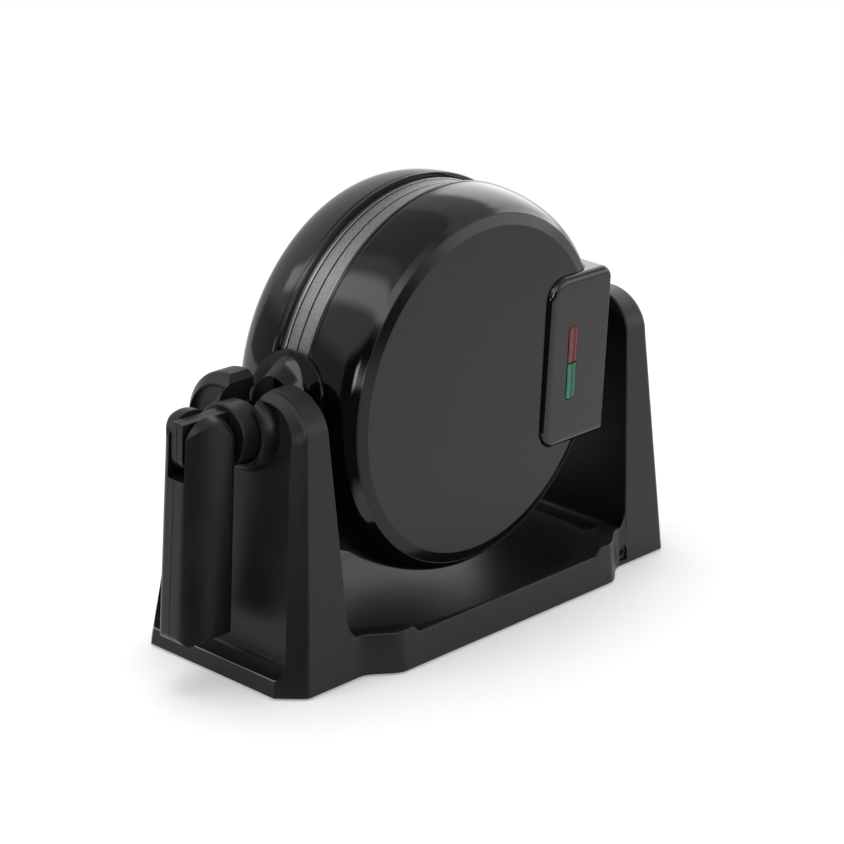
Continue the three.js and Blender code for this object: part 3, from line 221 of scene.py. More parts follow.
def oval_stretch(c, s, power):
    """How far out a superellipse of half width 1 lies in a direction."""
    return (abs(c) ** power + abs(s) ** power) ** (-1 / power)


def mix(a, b, t):
    return a + (b - a) * t


def at_height(foot, axis, z):
    return mix(foot, axis, z / AXIS)


# Solids

def solid(points, faces):
    """A closed mesh with its faces turned outward."""
    mesh = bpy.data.meshes.new("shape")
    work = bmesh.new()
    corners = [work.verts.new(p) for p in points]
    for face in faces:
        work.faces.new([corners[i] for i in face])
    return cleaned(work, mesh)


def cleaned(work, mesh):
    """Writes the work to the mesh, its doubles merged and its faces turned outward."""
    bmesh.ops.remove_doubles(work, verts=work.verts, dist=1e-4)
    bmesh.ops.recalc_face_normals(work, faces=work.faces)
    work.to_mesh(mesh)
    work.free()
    return mesh


def loft(rings):
    count = len(rings[0])
    points = [p for ring in rings for p in ring]
    faces = []
    for i in range(len(rings) - 1):
        for j in range(count):
            k = (j + 1) % count
            faces.append((i * count + j, i * count + k, (i + 1) * count + k, (i + 1) * count + j))
    faces.append(range(count))
    faces.append(range((len(rings) - 1) * count, len(rings) * count))
    return solid(points, faces)


def spin(profile, place, segments=160):
    """Turns a closed outline of (radius, along) pairs; place(along, across, up) puts each point."""
    rows = []
    points = []
    for radius, along in profile:
        if radius < 1e-6:
            rows.append([len(points)] * segments)
            points.append(place(along, 0, 0))
            continue
        rows.append(list(range(len(points), len(points) + segments)))
        for i in range(segments):
            angle = 2 * pi * (i + 0.5) / segments
            points.append(place(along, radius * cos(angle), radius * sin(angle)))
    faces = []
    for a, b in zip(rows, rows[1:] + rows[:1]):
        if a[0] == a[1] and b[0] == b[1]:
            continue
        for i in range(segments):
            j = (i + 1) % segments
            faces.append(list(dict.fromkeys([a[i], a[j], b[j], b[i]])))
    return solid(points, faces)


def round_drum(along, across, up):
    return (DRUM_X + across, along, AXIS + up)


def round_axis(along, across, up):
    return (along, across, AXIS + up)


def prism(outline, along, low, high):
    """A straight prism along X, Y or Z of an outline in the other two axes."""
    place = {
        "X": lambda p, t: (t, p[0], p[1]),
        "Y": lambda p, t: (p[0], t, p[1]),
        "Z": lambda p, t: (p[0], p[1], t),
    }[along]
    return loft([[place(p, t) for p in outline] for t in (low, high)])


def box(x0, x1, y0, y1, z0, z1):
    return prism([(x0, y0), (x1, y0), (x1, y1), (x0, y1)], "Z", z0, z1)


def rod(radius, along, low, high, centre, steps=48):
    """A cylinder along X, Y or Z; centre is its place in the other two axes."""
    return prism(arc(centre[0], centre[1], radius, 0, 360 - 360 / steps, steps - 1), along, low, high)


def link_object(name, data):
    made = bpy.data.objects.new(name, data)
    scene.collection.objects.link(made)
    return made


def evaluated_mesh(holder):
    """The holder's final shape as a plain mesh."""
    bpy.context.view_layer.update()
    graph = bpy.context.evaluated_depsgraph_get()
    return bpy.data.meshes.new_from_object(holder.evaluated_get(graph))


def worked(mesh, modifiers):
    """The mesh after a list of modifiers, each a type and its settings."""
    holder = link_object("work", mesh)
    tools = []
    for kind, settings in modifiers:
        modifier = holder.modifiers.new("step", kind)
        for key, value in settings.items():
            if isinstance(value, bpy.types.Mesh):
                value = link_object("tool", value)
                tools.append(value)
            setattr(modifier, key, value)
    result = evaluated_mesh(holder)
    for tool in tools + [holder]:
        bpy.data.objects.remove(tool)
    return result


def combined(mesh, others, operation):
    settings = {"operation": operation, "solver": "MANIFOLD"}
    return worked(mesh, [("BOOLEAN", dict(settings, object=other)) for other in others])


def joined(mesh, others):
    return combined(mesh, others, "UNION")


def cut(mesh, others):
    return combined(mesh, others, "DIFFERENCE")


def common(mesh, others):
    return combined(mesh, others, "INTERSECT")


def bevelled(mesh, width, segments=3, angle=30):
    """Rounds every edge that turns by more than the angle."""
    return worked(mesh, [("BEVEL", {
        "width": width,
        "segments": segments,
        "limit_method": "ANGLE",
        "angle_limit": radians(angle),
        "use_clamp_overlap": True,
        "miter_outer": "MITER_ARC",
    })])


def moved(mesh, matrix):
    mesh.transform(matrix)
    if matrix.to_3x3().determinant() < 0:
        mesh.flip_normals()
    return mesh


def from_face(y, side, x=0.0, z=0.0):
    """Turns a shape drawn flat, outward along Z, to look outward along Y on one side of the drum."""
    turn = Matrix(((1, 0, 0, 0), (0, 0, side, 0), (0, 1, 0, 0), (0, 0, 0, 1)))
    return Matrix.Translation((x, y, z)) @ turn


def shaded(mesh, angle=32, crease=None):
    """Smooth shading led by large faces.

    Edges that turn by more than the angle stay crisp, and so do the towers' edges at the height of
    the crease, which lie farther than FAR from the middle.
    """
    mesh.polygons.foreach_set("use_smooth", [True] * len(mesh.polygons))
    mesh.set_sharp_from_angle(angle=radians(angle))
    if crease is not None:
        for edge in mesh.edges:
            ends = [mesh.vertices[i].co for i in edge.vertices]
            if all(abs(end.z - crease) < 0.02 and abs(end.y) > FAR for end in ends):
                edge.use_edge_sharp = True
    return worked(mesh, [("WEIGHTED_NORMAL", {"mode": "FACE_AREA", "weight": 50, "keep_sharp": True})])


def add_piece(name, mesh, body, slot, materials, nodes=(), angle=32, pick=None, crease=None):
    """Moves a finished shape into the row frame as a piece that rides on a body.

    pick(centre, normal), in drawing millimetres, gives the index of a face's material.
    """
    mesh = shaded(mesh, angle, crease)
    mesh.materials.clear()
    for material in materials if isinstance(materials, list) else [materials]:
        mesh.materials.append(material)
    for face in mesh.polygons:
        face.material_index = pick(face.center, face.normal) if pick else 0
    mesh.transform(TO_ROW)
    mesh.name = name
    piece = link_object(name, mesh)
    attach(piece, body)
    if nodes:
        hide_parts(*nodes)
    return piece


# Nodes

def new_node(tree, kind, inputs=None, **settings):
    """A node of a kind, named without its prefix when it is a shader node.

    inputs gives each socket its value or the output that feeds it.
    """
    node = tree.nodes.new(kind if "Node" in kind else "ShaderNode" + kind)
    for key, value in settings.items():
        setattr(node, key, value)
    for socket, value in (inputs or {}).items():
        if isinstance(value, bpy.types.NodeSocket):
            tree.links.new(value, node.inputs[socket])
        else:
            node.inputs[socket].default_value = value
    return node


def add_node(*about, **settings):
    """The outputs of a new node."""
    return new_node(*about, **settings).outputs


def math_node(tree, operation, *values):
    return add_node(tree, "Math", dict(enumerate(values)), operation=operation)[0]


def feed(material, socket, output):
    """Links an output to a socket of the material's shader."""
    tree = material.node_tree
    tree.links.new(output, tree.nodes["Principled BSDF"].inputs[socket])


# Materials

NOISE_LOW, NOISE_HIGH = 0.3, 0.7


def new_material(name, colour, roughness, metallic=0.0, **sockets):
    material = bpy.data.materials.new(name)
    material.use_nodes = True
    shader = material.node_tree.nodes["Principled BSDF"]
    shader.inputs["Base Color"].default_value = (*colour, 1)
    shader.inputs["Roughness"].default_value = roughness
    shader.inputs["Metallic"].default_value = metallic
    for key, value in sockets.items():
        shader.inputs[key.replace("_", " ")].default_value = value
    return material


def add_noise(material, size, detail=2.0, stretch=(1, 1, 1)):
    """Noise in object space with grains of about the given size in millimetres."""
    tree = material.node_tree
    place = add_node(tree, "TexCoord")["Object"]
    scaled = add_node(tree, "Mapping", {"Scale": stretch, "Vector": place})["Vector"]
    return add_node(tree, "TexNoise", {"Scale": 1 / (size * MM), "Detail": detail, "Vector": scaled})["Fac"]


def vary(material, socket, low, high, source):
    """Drives a shader value between two levels from a noise."""
    inputs = {"From Min": NOISE_LOW, "From Max": NOISE_HIGH, "To Min": low, "To Max": high, "Value": source}
    feed(material, socket, add_node(material.node_tree, "MapRange", inputs)["Result"])


def tint(material, low, high, source):
    """Drives the colour between two tones from a noise or from ribs."""
    ramp = new_node(material.node_tree, "ValToRGB", {"Fac": source})
    for stop, position, colour in zip(ramp.color_ramp.elements, (NOISE_LOW, NOISE_HIGH), (low, high)):
        stop.position = position
        stop.color = (*colour, 1)
    feed(material, "Base Color", ramp.outputs["Color"])


def emboss(material, source, depth, edge=0.0):
    """Bump of the given depth in millimetres, over edges softened by a small radius."""
    tree = material.node_tree
    inputs = {"Strength": 1.0, "Distance": depth * MM, "Height": source}
    if edge:
        inputs["Normal"] = add_node(tree, "Bevel", {"Radius": edge * MM}, samples=4)["Normal"]
    feed(material, "Normal", add_node(tree, "Bump", inputs)["Normal"])


def make_plastic(name, colour, roughness, grain_depth, grain=0.35, edge=0.35, spread=0.04, **sockets):
    material = new_material(name, colour, roughness, **sockets)
    cloudy = add_noise(material, 40)
    vary(material, "Roughness", roughness - spread, roughness + spread, cloudy)
    tint(material, [c * 0.88 for c in colour], [c * 1.12 for c in colour], cloudy)
    emboss(material, add_noise(material, grain, 3), grain_depth, edge=edge)
    return material


def make_polished(name, colour, roughness, shine, grain=6):
    """Smooth plastic; shine is the strength of its mirror at a straight look."""
    return make_plastic(name, colour, roughness, 0.0006, grain, spread=0.015, Specular_IOR_Level=shine)


def make_metal(name, colour, roughness, grain, depth, stretch=(1, 1, 1), mottle=0.14):
    material = new_material(name, colour, roughness, metallic=1.0)
    brushed = add_noise(material, grain, 4, stretch)
    vary(material, "Roughness", roughness - 0.08, roughness + 0.08, brushed)
    tint(material, [c * (1 - mottle) for c in colour], [min(1, c * (1 + mottle)) for c in colour], brushed)
    emboss(material, brushed, depth, edge=0.2)
    return material


def make_lens(name, colour, deep):
    """Clear coloured plastic over a reflector, with fine ribs along its length."""
    material = new_material(name, colour, 0.12, Transmission_Weight=0.25, IOR=1.49, Specular_IOR_Level=0.3)
    tree = material.node_tree
    inputs = {"Scale": 62, "Distortion": 1.2, "Vector": add_node(tree, "TexCoord")["Object"]}
    ribs = add_node(tree, "TexWave", inputs, wave_type="BANDS", bands_direction="X")["Fac"]
    tint(material, deep, colour, ribs)
    emboss(material, ribs, 0.15, edge=0.3)
    return material


satin_black = make_plastic(
    "satin black plastic", (0.0105, 0.0105, 0.0108), 0.36, 0.02, Specular_IOR_Level=0.26
)
rough_black = make_plastic(
    "matt black plastic", (0.008, 0.008, 0.0082), 0.52, 0.06, grain=0.6, Specular_IOR_Level=0.4
)
gloss_black = make_polished("polished black plastic", (0.002, 0.002, 0.0022), 0.085, 0.5)
face_black = make_polished("satin charcoal disc", (0.006, 0.006, 0.0061), 0.2, 0.31, grain=9)
# A lighter black that paints a highlight along the narrow bevel at the front of the bay's ledge
ledge_highlight_black = make_plastic(
    "painted highlight on ledge edge", (0.2, 0.2, 0.203), 0.3, 0.002, grain=4, Specular_IOR_Level=0.5
)
cover_black = make_polished("moulded lamp cover", (0.009, 0.009, 0.0092), 0.1, 0.38)
rubber = make_plastic("black rubber", (0.012, 0.012, 0.012), 0.8, 0.05, grain=0.8)
bearing_white = make_plastic("natural bearing plastic", (0.62, 0.6, 0.54), 0.4, 0.01)
board_green = make_plastic("green circuit board", (0.03, 0.13, 0.05), 0.5, 0.02, grain=1.5)
coating = make_plastic("dark non-stick coating", (0.02, 0.02, 0.021), 0.38, 0.03, grain=0.5)
print_white = make_plastic("light printing ink", (0.55, 0.55, 0.55), 0.6, 0.005, edge=0)
cast_silver = make_metal("cast aluminium", (0.25, 0.25, 0.26), 0.4, 0.55, 0.2, mottle=0.5)
pan_steel = make_metal("rolled steel", (0.3, 0.3, 0.31), 0.34, 0.8, 0.01, (1, 6, 1))
pin_steel = make_metal("turned steel", (0.52, 0.52, 0.53), 0.25, 0.4, 0.01, (1, 1, 5))
sheath = make_metal("oxidised heater sheath", (0.2, 0.16, 0.13), 0.45, 1.2, 0.03)
lens_red = make_lens("clear red lens", (0.27, 0.03, 0.034), (0.1, 0.007, 0.01))
lens_green = make_lens("clear green lens", (0.02, 0.25, 0.15), (0.003, 0.11, 0.062))


# Repeats

def repeat_tree(name, sizes):
    """A tree with a mesh input, named sizes and a finish; gives it and its given values."""
    group = bpy.data.node_groups.new(name, "GeometryNodeTree")
    for label, kind in {"Shape": "Geometry", **sizes, "Finish": "Material"}.items():
        group.interface.new_socket(label, in_out="INPUT", socket_type="NodeSocket" + kind)
    group.interface.new_socket("Result", in_out="OUTPUT", socket_type="NodeSocketGeometry")
    return group, add_node(group, "NodeGroupInput")


def end_tree(group, given, inputs):
    """Instances of the shape on points, realised and given their finish."""
    spread = dict(inputs, Instance=given["Shape"])
    copies = add_node(group, "GeometryNodeInstanceOnPoints", spread)["Instances"]
    real = add_node(group, "GeometryNodeRealizeInstances", {"Geometry": copies})["Geometry"]
    finish = {"Geometry": real, "Material": given["Finish"]}
    finished = add_node(group, "GeometryNodeSetMaterial", finish)["Geometry"]
    add_node(group, "NodeGroupOutput", {"Result": finished})
    return group


def grid_tree():
    """Copies on a level grid, without those whose place is farther out than the reach."""
    sizes = {"Columns": "Int", "Rows": "Int", "Pitch": "Float", "Middle": "Vector", "Reach": "Float"}
    group, given = repeat_tree("grid of copies", sizes)
    counts = {}
    for count, axis in (("Columns", "X"), ("Rows", "Y")):
        gaps = math_node(group, "SUBTRACT", given[count], 1)
        counts["Size " + axis] = math_node(group, "MULTIPLY", gaps, given["Pitch"])
        counts["Vertices " + axis] = given[count]
    grid = {"Geometry": add_node(group, "GeometryNodeMeshGrid", counts)["Mesh"], "Offset": given["Middle"]}
    shifted = add_node(group, "GeometryNodeSetPosition", grid)["Geometry"]
    place = add_node(group, "GeometryNodeInputPosition")["Position"]
    ways = {0: add_node(group, "VectorMath", {0: place}, operation="LENGTH")["Value"], 1: given["Reach"]}
    beyond = add_node(group, "FunctionNodeCompare", ways, data_type="FLOAT", operation="GREATER_THAN")
    drop = {"Geometry": shifted, "Selection": beyond["Result"]}
    kept = add_node(group, "GeometryNodeDeleteGeometry", drop, domain="POINT")["Geometry"]
    return end_tree(group, given, {"Points": kept})


def ring_tree():
    """Copies spread evenly over part of a circle, each turned to face outward."""
    sizes = {"Count": "Int", "Radius": "Float", "Start": "Float", "Step": "Float"}
    group, given = repeat_tree("ring of copies", sizes)
    index = add_node(group, "GeometryNodeInputIndex")["Index"]
    swing = math_node(group, "MULTIPLY_ADD", index, given["Step"], given["Start"])
    turn = add_node(group, "CombineXYZ", {"Z": swing})["Vector"]
    out = add_node(group, "CombineXYZ", {"X": given["Radius"]})["Vector"]
    around = add_node(group, "VectorRotate", {"Vector": out, "Rotation": turn}, rotation_type="EULER_XYZ")
    places = {"Count": given["Count"], "Position": around["Vector"]}
    points = add_node(group, "GeometryNodePoints", places)["Points"]
    return end_tree(group, given, {"Points": points, "Rotation": turn})


GRID, RING = grid_tree(), ring_tree()


def repeated(shape, group, finish, sizes):
    """Runs a tree on a shape and gives the copies as one plain mesh."""
    holder = link_object("repeat", shape)
    modifier = holder.modifiers.new("repeat", "NODES")
    modifier.node_group = group
    values = dict(sizes, Finish=finish)
    for item in group.interface.items_tree:
        if item.in_out == "INPUT" and item.name in values:
            modifier[item.identifier] = values[item.name]
    result = evaluated_mesh(holder)
    holder.modifiers.remove(modifier)
    bpy.data.objects.remove(holder)
    return result


# Base

def inner_x(z):
    """How far out a tower's inner face is at a height; the next two give its shoulder and its end."""
    return at_height(INNER_FOOT, INNER_AXIS, z)


def shoulder_x(z):
    return at_height(SHOULDER_FOOT, SHOULDER_AXIS, z)


def end_x(z):
    return at_height(END_FOOT, END_AXIS, z)


def tower_outline(bottom=0.0, foot_inset=0.0, axis_inset=0.0, radius=None):
    """Leaning sides up to the axis, a crease, then an arch with a flat crown, in Y and Z."""
    radius = ARCH_RADIUS - axis_inset if radius is None else radius
    foot, crease = FOOT_HALF - foot_inset, CREASE_HALF - axis_inset
    right = [(at_height(foot, crease, z), z) for z in (bottom, AXIS - CREASE_BELOW)]
    return with_mirror(right + arc(crease - radius, AXIS, radius, 0, 90, 18), -1, 1)


def tower_ring(outline, x_at, side):
    return [(side * x_at(z), y, z) for y, z in outline]


def tower(side):
    """From a rounded inner edge to a soft shoulder, then the long chamfer with a rounded end."""
    rings = []
    for in_by, back in corner_steps([22.5 * i for i in range(5)]):
        inset, reach = INNER_ROUNDING * in_by, INNER_ROUNDING * back
        rings.append(tower_ring(tower_outline(0, inset, inset), lambda z: inner_x(z) + reach, side))
    chamfer = [(SHOULDER_SHARE * t * t, 0, SHOULDER_RUN * (1 - t) ** 2) for t in shares(5)]
    for share, extra, back in chamfer + [(0.93, 0, 0), (0.98, 0.06, 0), (1.0, 0.3, 0)]:
        outline = tower_outline(0, FOOT_BEVEL * share + extra, AXIS_BEVEL * share + extra)
        rings.append(tower_ring(outline, lambda z: mix(shoulder_x(z), end_x(z), share) - back, side))
    return loft(rings)


def bay_outline(inset, floor):
    """Outline of the bay at one depth, with round lower corners."""
    outline = tower_outline(floor, FOOT_BEVEL - BAY_SPREAD + inset, AXIS_BEVEL + inset)
    foot, above = Vector(outline[0]), Vector(outline[1])
    rise = (above - foot).normalized()
    corner = bend(foot - Vector((BAY_CORNER, 0)), foot, foot + rise * BAY_CORNER, 8)
    mirrored = [Vector((-p.x, p.y)) for p in reversed(corner)]
    return [tuple(p) for p in corner] + outline[1:-1] + [tuple(p) for p in mirrored]


def bay_cutter(side):
    """The bay in the end of a tower: a fine bevel at its mouth, then walls that round into its back."""
    layers = [(0, PAST, MOUTH_BEVEL), (0, 0.02, MOUTH_BEVEL), (0, -MOUTH_DEPTH, 0)]
    layers += [(t, 0, 0) for t in shares(10)[1:]]
    rings = []
    for depth, reach, mouth in layers:
        fillet = BAY_FILLET * (1 - sqrt(1 - depth * depth))
        outline = bay_outline(BAY_RIM + fillet - mouth, BAY_LEDGE + BAY_FLOOR_RISE * fillet - mouth)
        rings.append(tower_ring(outline, lambda z: mix(end_x(z), shoulder_x(z), depth) + reach, side))
    return loft(rings)


def recess_cutter(side, depth_at_back):
    """The recess in the inner face of a tower, whose walls round into its back."""
    rings = []
    for depth, reach in [(0, -PAST)] + [(t, t * depth_at_back) for t in shares(8)]:
        inset = RECESS_FILLET * (1 - sqrt(1 - depth * depth))
        rim = RECESS_RIM + inset
        outline = tower_outline(RECESS_FLOOR + inset, rim, rim, max(RECESS_ARCH - inset, 0.3))
        rings.append(tower_ring(outline, lambda z: inner_x(z) + reach, side))
    return loft(rings)


def tower_hollow(side, near_at, far_at, far_inset, top, top_half):
    """The hollow inside a tower, which narrows to a flat top."""
    def wide(z):
        return at_height(FOOT_HALF, CREASE_HALF, z) - WALL

    narrowing = top - top_half
    rings = []
    for z, near, far in (
        (-PAST, wide(0), wide(0) - far_inset),
        (narrowing, wide(narrowing), wide(narrowing) - far_inset),
        (top, top_half, top_half),
    ):
        x0, x1 = side * near_at(z), side * far_at(z)
        rings.append([(x0, -near, z), (x1, -far, z), (x1, far, z), (x0, near, z)])
    return loft(rings)


def tray_half_width(x):
    """Half width of the base between the towers: their foot, a soft sweep, then the wider tray."""
    t = min(max((SWEEP_START - abs(x)) / (SWEEP_START - SWEEP_END), 0), 1)
    return mix(FOOT_HALF, TRAY_HALF_WIDTH, (1 - cos(pi * t)) / 2) - 0.05


def tray_height(x):
    t = min(max((abs(x) - TRAY_RIM_HALF) / TRAY_SLOPE, 0), 1)
    soft = t * t * (3 - 2 * t)
    return mix(TRAY_RIM, TRAY_SHOULDER, mix(t, soft, 0.5))


def tray():
    """Cross-sections along X with a rounded upper edge."""
    stations = [INNER_FOOT + 5]
    stations += [mix(SWEEP_START, SWEEP_END, t) for t in shares(24)]
    stations += [TRAY_RIM_HALF + TRAY_SLOPE * (1 - t) for t in shares(8)]
    stations += [-x for x in reversed(stations)]
    rings = []
    for x in stations:
        half = [(tray_half_width(x), 0.0)]
        for down, in_by in corner_steps((0, 22, 45, 68, 90)):
            z = tray_height(x) - TRAY_ROUNDING * down
            y = tray_half_width(x) - LEAN * z - TRAY_ROUNDING * in_by
            half.append((y, z))
        rings.append([(x, y, z) for y, z in with_mirror(half, -1, 1)])
    return loft(rings)


def foot_fillet(side):
    """The hollow curve between the inner face of a tower and the tray."""
    start = Vector((inner_x(FOOT_FILLET_HEIGHT) + 0.6, FOOT_FILLET_HEIGHT))
    corner = Vector((inner_x(TRAY_SHOULDER), TRAY_SHOULDER))
    end = Vector((corner.x - FOOT_FILLET_REACH, TRAY_RIM))
    outline = [(side * p.x, p.y) for p in bend(start, corner, end, 16)]
    low = TRAY_RIM / 2
    outline += [(side * end.x, low), (side * start.x, low)]
    leaning = prism(tower_outline(0, 0.35, 0.35), "X", -END_FOOT, END_FOOT)
    return common(prism(outline, "Y", -FOOT_HALF, FOOT_HALF), [leaning])


def superellipse(a, b, z, sides=112, power=3.0):
    ring = []
    for i in range(sides):
        c, s = cos(2 * pi * i / sides), sin(2 * pi * i / sides)
        stretch = oval_stretch(c, s, power)
        ring.append((a * c * stretch, b * s * stretch, z))
    return ring


def trough():
    """The swept hollow of the tray, with a soft edge at its rim."""
    half_length = INNER_FOOT + 5.1
    half_width = TRAY_HALF_WIDTH - LEAN * TRAY_RIM - TROUGH_RIM
    top = TRAY_RIM - 0.3
    rings = [superellipse(half_length * 1.02, half_width * 1.02, TRAY_SHOULDER + PAST)]
    rings.append(superellipse(half_length * 1.006, half_width * 1.008, top + 0.5))
    for t in shares(12):
        share = 1 - 0.26 * t ** 1.15
        height = mix(TROUGH_FLOOR, top, (1 - t) ** 2.1)
        rings.append(superellipse(half_length * share, half_width * share, height))
    return loft(rings)


def slot_outline(half):
    """Open saddle for the journal: round below, flared at the top."""
    start, top = TOWER_TOP - 3.5, TOWER_TOP + PAST
    flared = half + SLOT_FLARE
    return arc(0, AXIS, half, 180, 360, 28) + [(half, start), (flared, top), (-flared, top), (-half, start)]


def hub_dish():
    """The collar that rises from the bay's back around the hub."""
    back = SHOULDER_AXIS
    sunk = back - WALL / 2
    high = 7.6
    hole = HUB_RADIUS + 0.75
    profile = [(0, back - WALL), (23, back - WALL)]
    for t in shares(12):
        profile.append((23.6 - 4.5 * t, back - 0.6 + (high + 0.3) * sin(t * pi / 2) ** 0.8))
    profile += [(18.6, back + high), (hole + 0.5, back + high), (hole + 0.15, back + high - 0.15)]
    profile += [(hole, back + high - 0.5), (hole, sunk), (0, sunk)]
    return spin(profile, lambda along, u, v: (-along, u, AXIS + v), 112)


def gland_opening(gap, outward, inward):
    half = GLAND_HALF + gap
    outline = arc(GLAND_X, GLAND_HEIGHT, half, 0, 180, 16)
    outline += [(GLAND_X - half, COVER_SEAT), (GLAND_X + half, COVER_SEAT)]
    return prism(outline, "Y", -GLAND_FACE - outward, -GLAND_FACE + GLAND_DEPTH + inward)


def underside_outline(shrink):
    """Outline of the underside cover in X and Y, inside the foot of the base."""
    inset = COVER_INSET + shrink
    half_length = END_FOOT - inset
    quarter = [
        (half_length, FOOT_HALF - FOOT_BEVEL - inset * tan(pi / 8)),
        (half_length - FOOT_BEVEL, FOOT_HALF - inset),
    ]
    for t in shares(12):
        swing = (1 - cos(pi * t)) / 2
        x = mix(SWEEP_START, SWEEP_END, t) - inset * 0.5
        quarter.append((x, mix(FOOT_HALF, TRAY_HALF_WIDTH, swing) - inset))
    return with_mirror(with_mirror(quarter, -1, 1), 1, -1)


def on_ledge_edge(centre, normal):
    """The narrow bevel along the front of the ledge, which gets a painted highlight: a much lighter black."""
    at_mouth = -centre.x > end_x(centre.z) - 0.6 and centre.z < BAY_LEDGE + 4
    return int(at_mouth and normal.x < -0.3 and normal.z > 0.3)


def base_moulding():
    """Both towers and the tray, with the bays, recesses, hollows, bearings and the cord's way cut."""
    base = joined(tower(-1), [tower(1), tray(), foot_fillet(-1), foot_fillet(1)])
    base = cut(base, [
        bay_cutter(-1),
        recess_cutter(-1, HANDLE_RECESS),
        recess_cutter(1, HINGE_RECESS),
        trough(),
    ])
    boss_end = RECESS_BACK + BUSH_LENGTH
    base = joined(base, [hub_dish(), rod(BOSS_RADIUS, "X", RECESS_BACK - 1.8, boss_end, (0, AXIS))])
    handle_hollow = tower_hollow(
        -1,
        lambda z: inner_x(z) + HANDLE_RECESS + WALL,
        lambda z: shoulder_x(z) - WALL,
        BAY_FILLET,
        AXIS - SLOT_HALF - WALL * 2,
        SLOT_HALF,
    )
    hinge_hollow = tower_hollow(
        1,
        lambda z: inner_x(z) + HINGE_RECESS + WALL,
        lambda z: end_x(z) - WALL,
        FOOT_BEVEL,
        AXIS + BOSS_RADIUS - 2,
        BOSS_RADIUS,
    )
    cord_way = box(
        GLAND_X - GLAND_HALF,
        INNER_FOOT + HINGE_RECESS + WALL * 2,
        -GLAND_FACE + GLAND_DEPTH,
        -GLAND_FACE + 12,
        -PAST,
        GLAND_HEIGHT,
    )
    return cut(base, [
        handle_hollow,
        cut(hinge_hollow, [rod(BOSS_RADIUS, "X", RECESS_BACK - PAST, boss_end, (0, AXIS))]),
        prism(slot_outline(SLOT_HALF), "X", -END_FOOT, -INNER_AXIS + 6.8),
        rod(BUSH_HOLE, "X", INNER_FOOT, boss_end + GAP, (0, AXIS)),
        prism(underside_outline(-GAP), "Z", -PAST, COVER_SEAT),
        gland_opening(GAP, PAST, GAP),
        cord_way,
    ])


# The bevel at the front of the ledge takes the lighter black, a painted highlight
add_piece(
    "base_moulding", base_moulding(), "base", "satin_black", [satin_black, ledge_highlight_black], ["base_housing"],
    angle=28, pick=on_ledge_edge, crease=AXIS,
)


# Drum

def flank(steps):
    """Quarter oval from the lip to the foot of the face, as (radius, distance from the parting plane)."""
    points = []
    for i in range(steps + 1):
        angle = pi / 2 * i / steps
        radius = BEVEL_RADIUS + (LIP_RADIUS - BEVEL_RADIUS) * cos(angle)
        points.append((radius, LIP_PLANE + (FLANK_FOOT - LIP_PLANE) * sin(angle)))
    return points


def drum_turned(points, side, segments=176):
    return spin([(r, side * y) for r, y in points], round_drum, segments)


def drum_room(side, gap):
    """The room of half a drum, from the parting plane out, with a small gap all round."""
    back = FACE - DISC_THICKNESS + gap
    profile = [(0, 0), (LIP_RADIUS + gap, 0)]
    profile += [(r + gap, y) for r, y in flank(28)]
    profile += [(BEVEL_RADIUS + gap, back), (0, back)]
    return drum_turned(profile, side)


def shell(side):
    """Half of the drum: a beaded lip, the flank, a sharper ring, and a floor that carries the disc."""
    last = LIP_PLANE + (FLANK_FOOT - LIP_PLANE) * sin(radians(FLANK_TURN))
    outer = [(r, y) for r, y in flank(60) if LIP_PLANE + BEAD_END < y < last]
    outer += [(EDGE_RADIUS + back, EDGE_PLANE - back) for back in (0.6, 0.15, 0)]
    lip = [(LIP_RADIUS - back, LIP_PLANE + out) for back, out in LIP_BEAD]
    inner = [(r - SHELL_WALL, y) for r, y in flank(24) if y < FLANK_FOOT - SHELL_WALL * 2]
    profile = [(0, EDGE_FLOOR), (EDGE_RADIUS - 0.8, EDGE_FLOOR), (EDGE_RADIUS - 0.3, EDGE_PLANE)]
    profile += list(reversed(outer)) + list(reversed(lip)) + inner
    profile += [(FACE_RADIUS, EDGE_FLOOR - SHELL_WALL), (0, EDGE_FLOOR - SHELL_WALL)]
    return drum_turned(profile, side)


def cover_outline(inset, right):
    """Outline of the hinge covers in X and Z, drawn in by an inset."""
    left, low, high = COVER_LEFT + inset, COVER_BOTTOM + inset, COVER_TOP - inset
    top_left, low_left = COVER_CORNERS["top_left"] - inset, COVER_CORNERS["low_left"] - inset
    low_right, top_right = COVER_CORNERS["low_right"], COVER_CORNERS["top_right"]
    end = right - inset
    points = arc(left + low_left, low + low_left, low_left, 180, 270, 16)
    points += arc(end - low_right, low + low_right, low_right, 270, 360, 6)
    points += arc(end - top_right, high - top_right, top_right, 0, 90, 8)
    points += arc(left + top_left, high - top_left, top_left, 90, 180, 16)
    return [(x, z + AXIS) for x, z in points]


def face_disc(side):
    """The flat disc with its bevel ring, cut out around the hinge cover."""
    under = EDGE_PLANE - 1.5
    profile = [
        (0, under), (EDGE_RADIUS - 0.85, under), (EDGE_RADIUS - 0.4, EDGE_PLANE - 0.1),
        (EDGE_RADIUS - 0.3, EDGE_PLANE + 0.02), (EDGE_RADIUS - 0.6, EDGE_PLANE + 0.16),
        (FACE_RADIUS + 0.3, FACE - 0.1), (FACE_RADIUS - 0.15, FACE), (0, FACE),
    ]
    around_cover = prism(cover_outline(-GAP, COVER_RIGHT + 5), "Y", -COVER_FACE, COVER_FACE)
    return cut(drum_turned(profile, side), [around_cover])


lens_window = box(59.3, 71.5, -FACE, -33.0, LAMP_Z - WINDOW_HALF, LAMP_Z + WINDOW_HALF)
shaft_hole = rod(3.3, "Y", 33, FACE + PAST, (DIAL_X, AXIS), 32)
for name, side, body, hole in (("lid", -1, "lid", lens_window), ("lower", 1, "carrier", shaft_hole)):
    drum_shell = cut(shell(side), [hole])
    add_piece(f"{name}_shell_gloss", drum_shell, body, "gloss_black", gloss_black, [f"{name}_shell"])
for name, side, body in (("lid", -1, "lid"), ("lower", 1, "carrier")):
    add_piece(f"{name}_disc", face_disc(side), body, "face_grey", face_black, [f"{name}_face_disc"], angle=12)


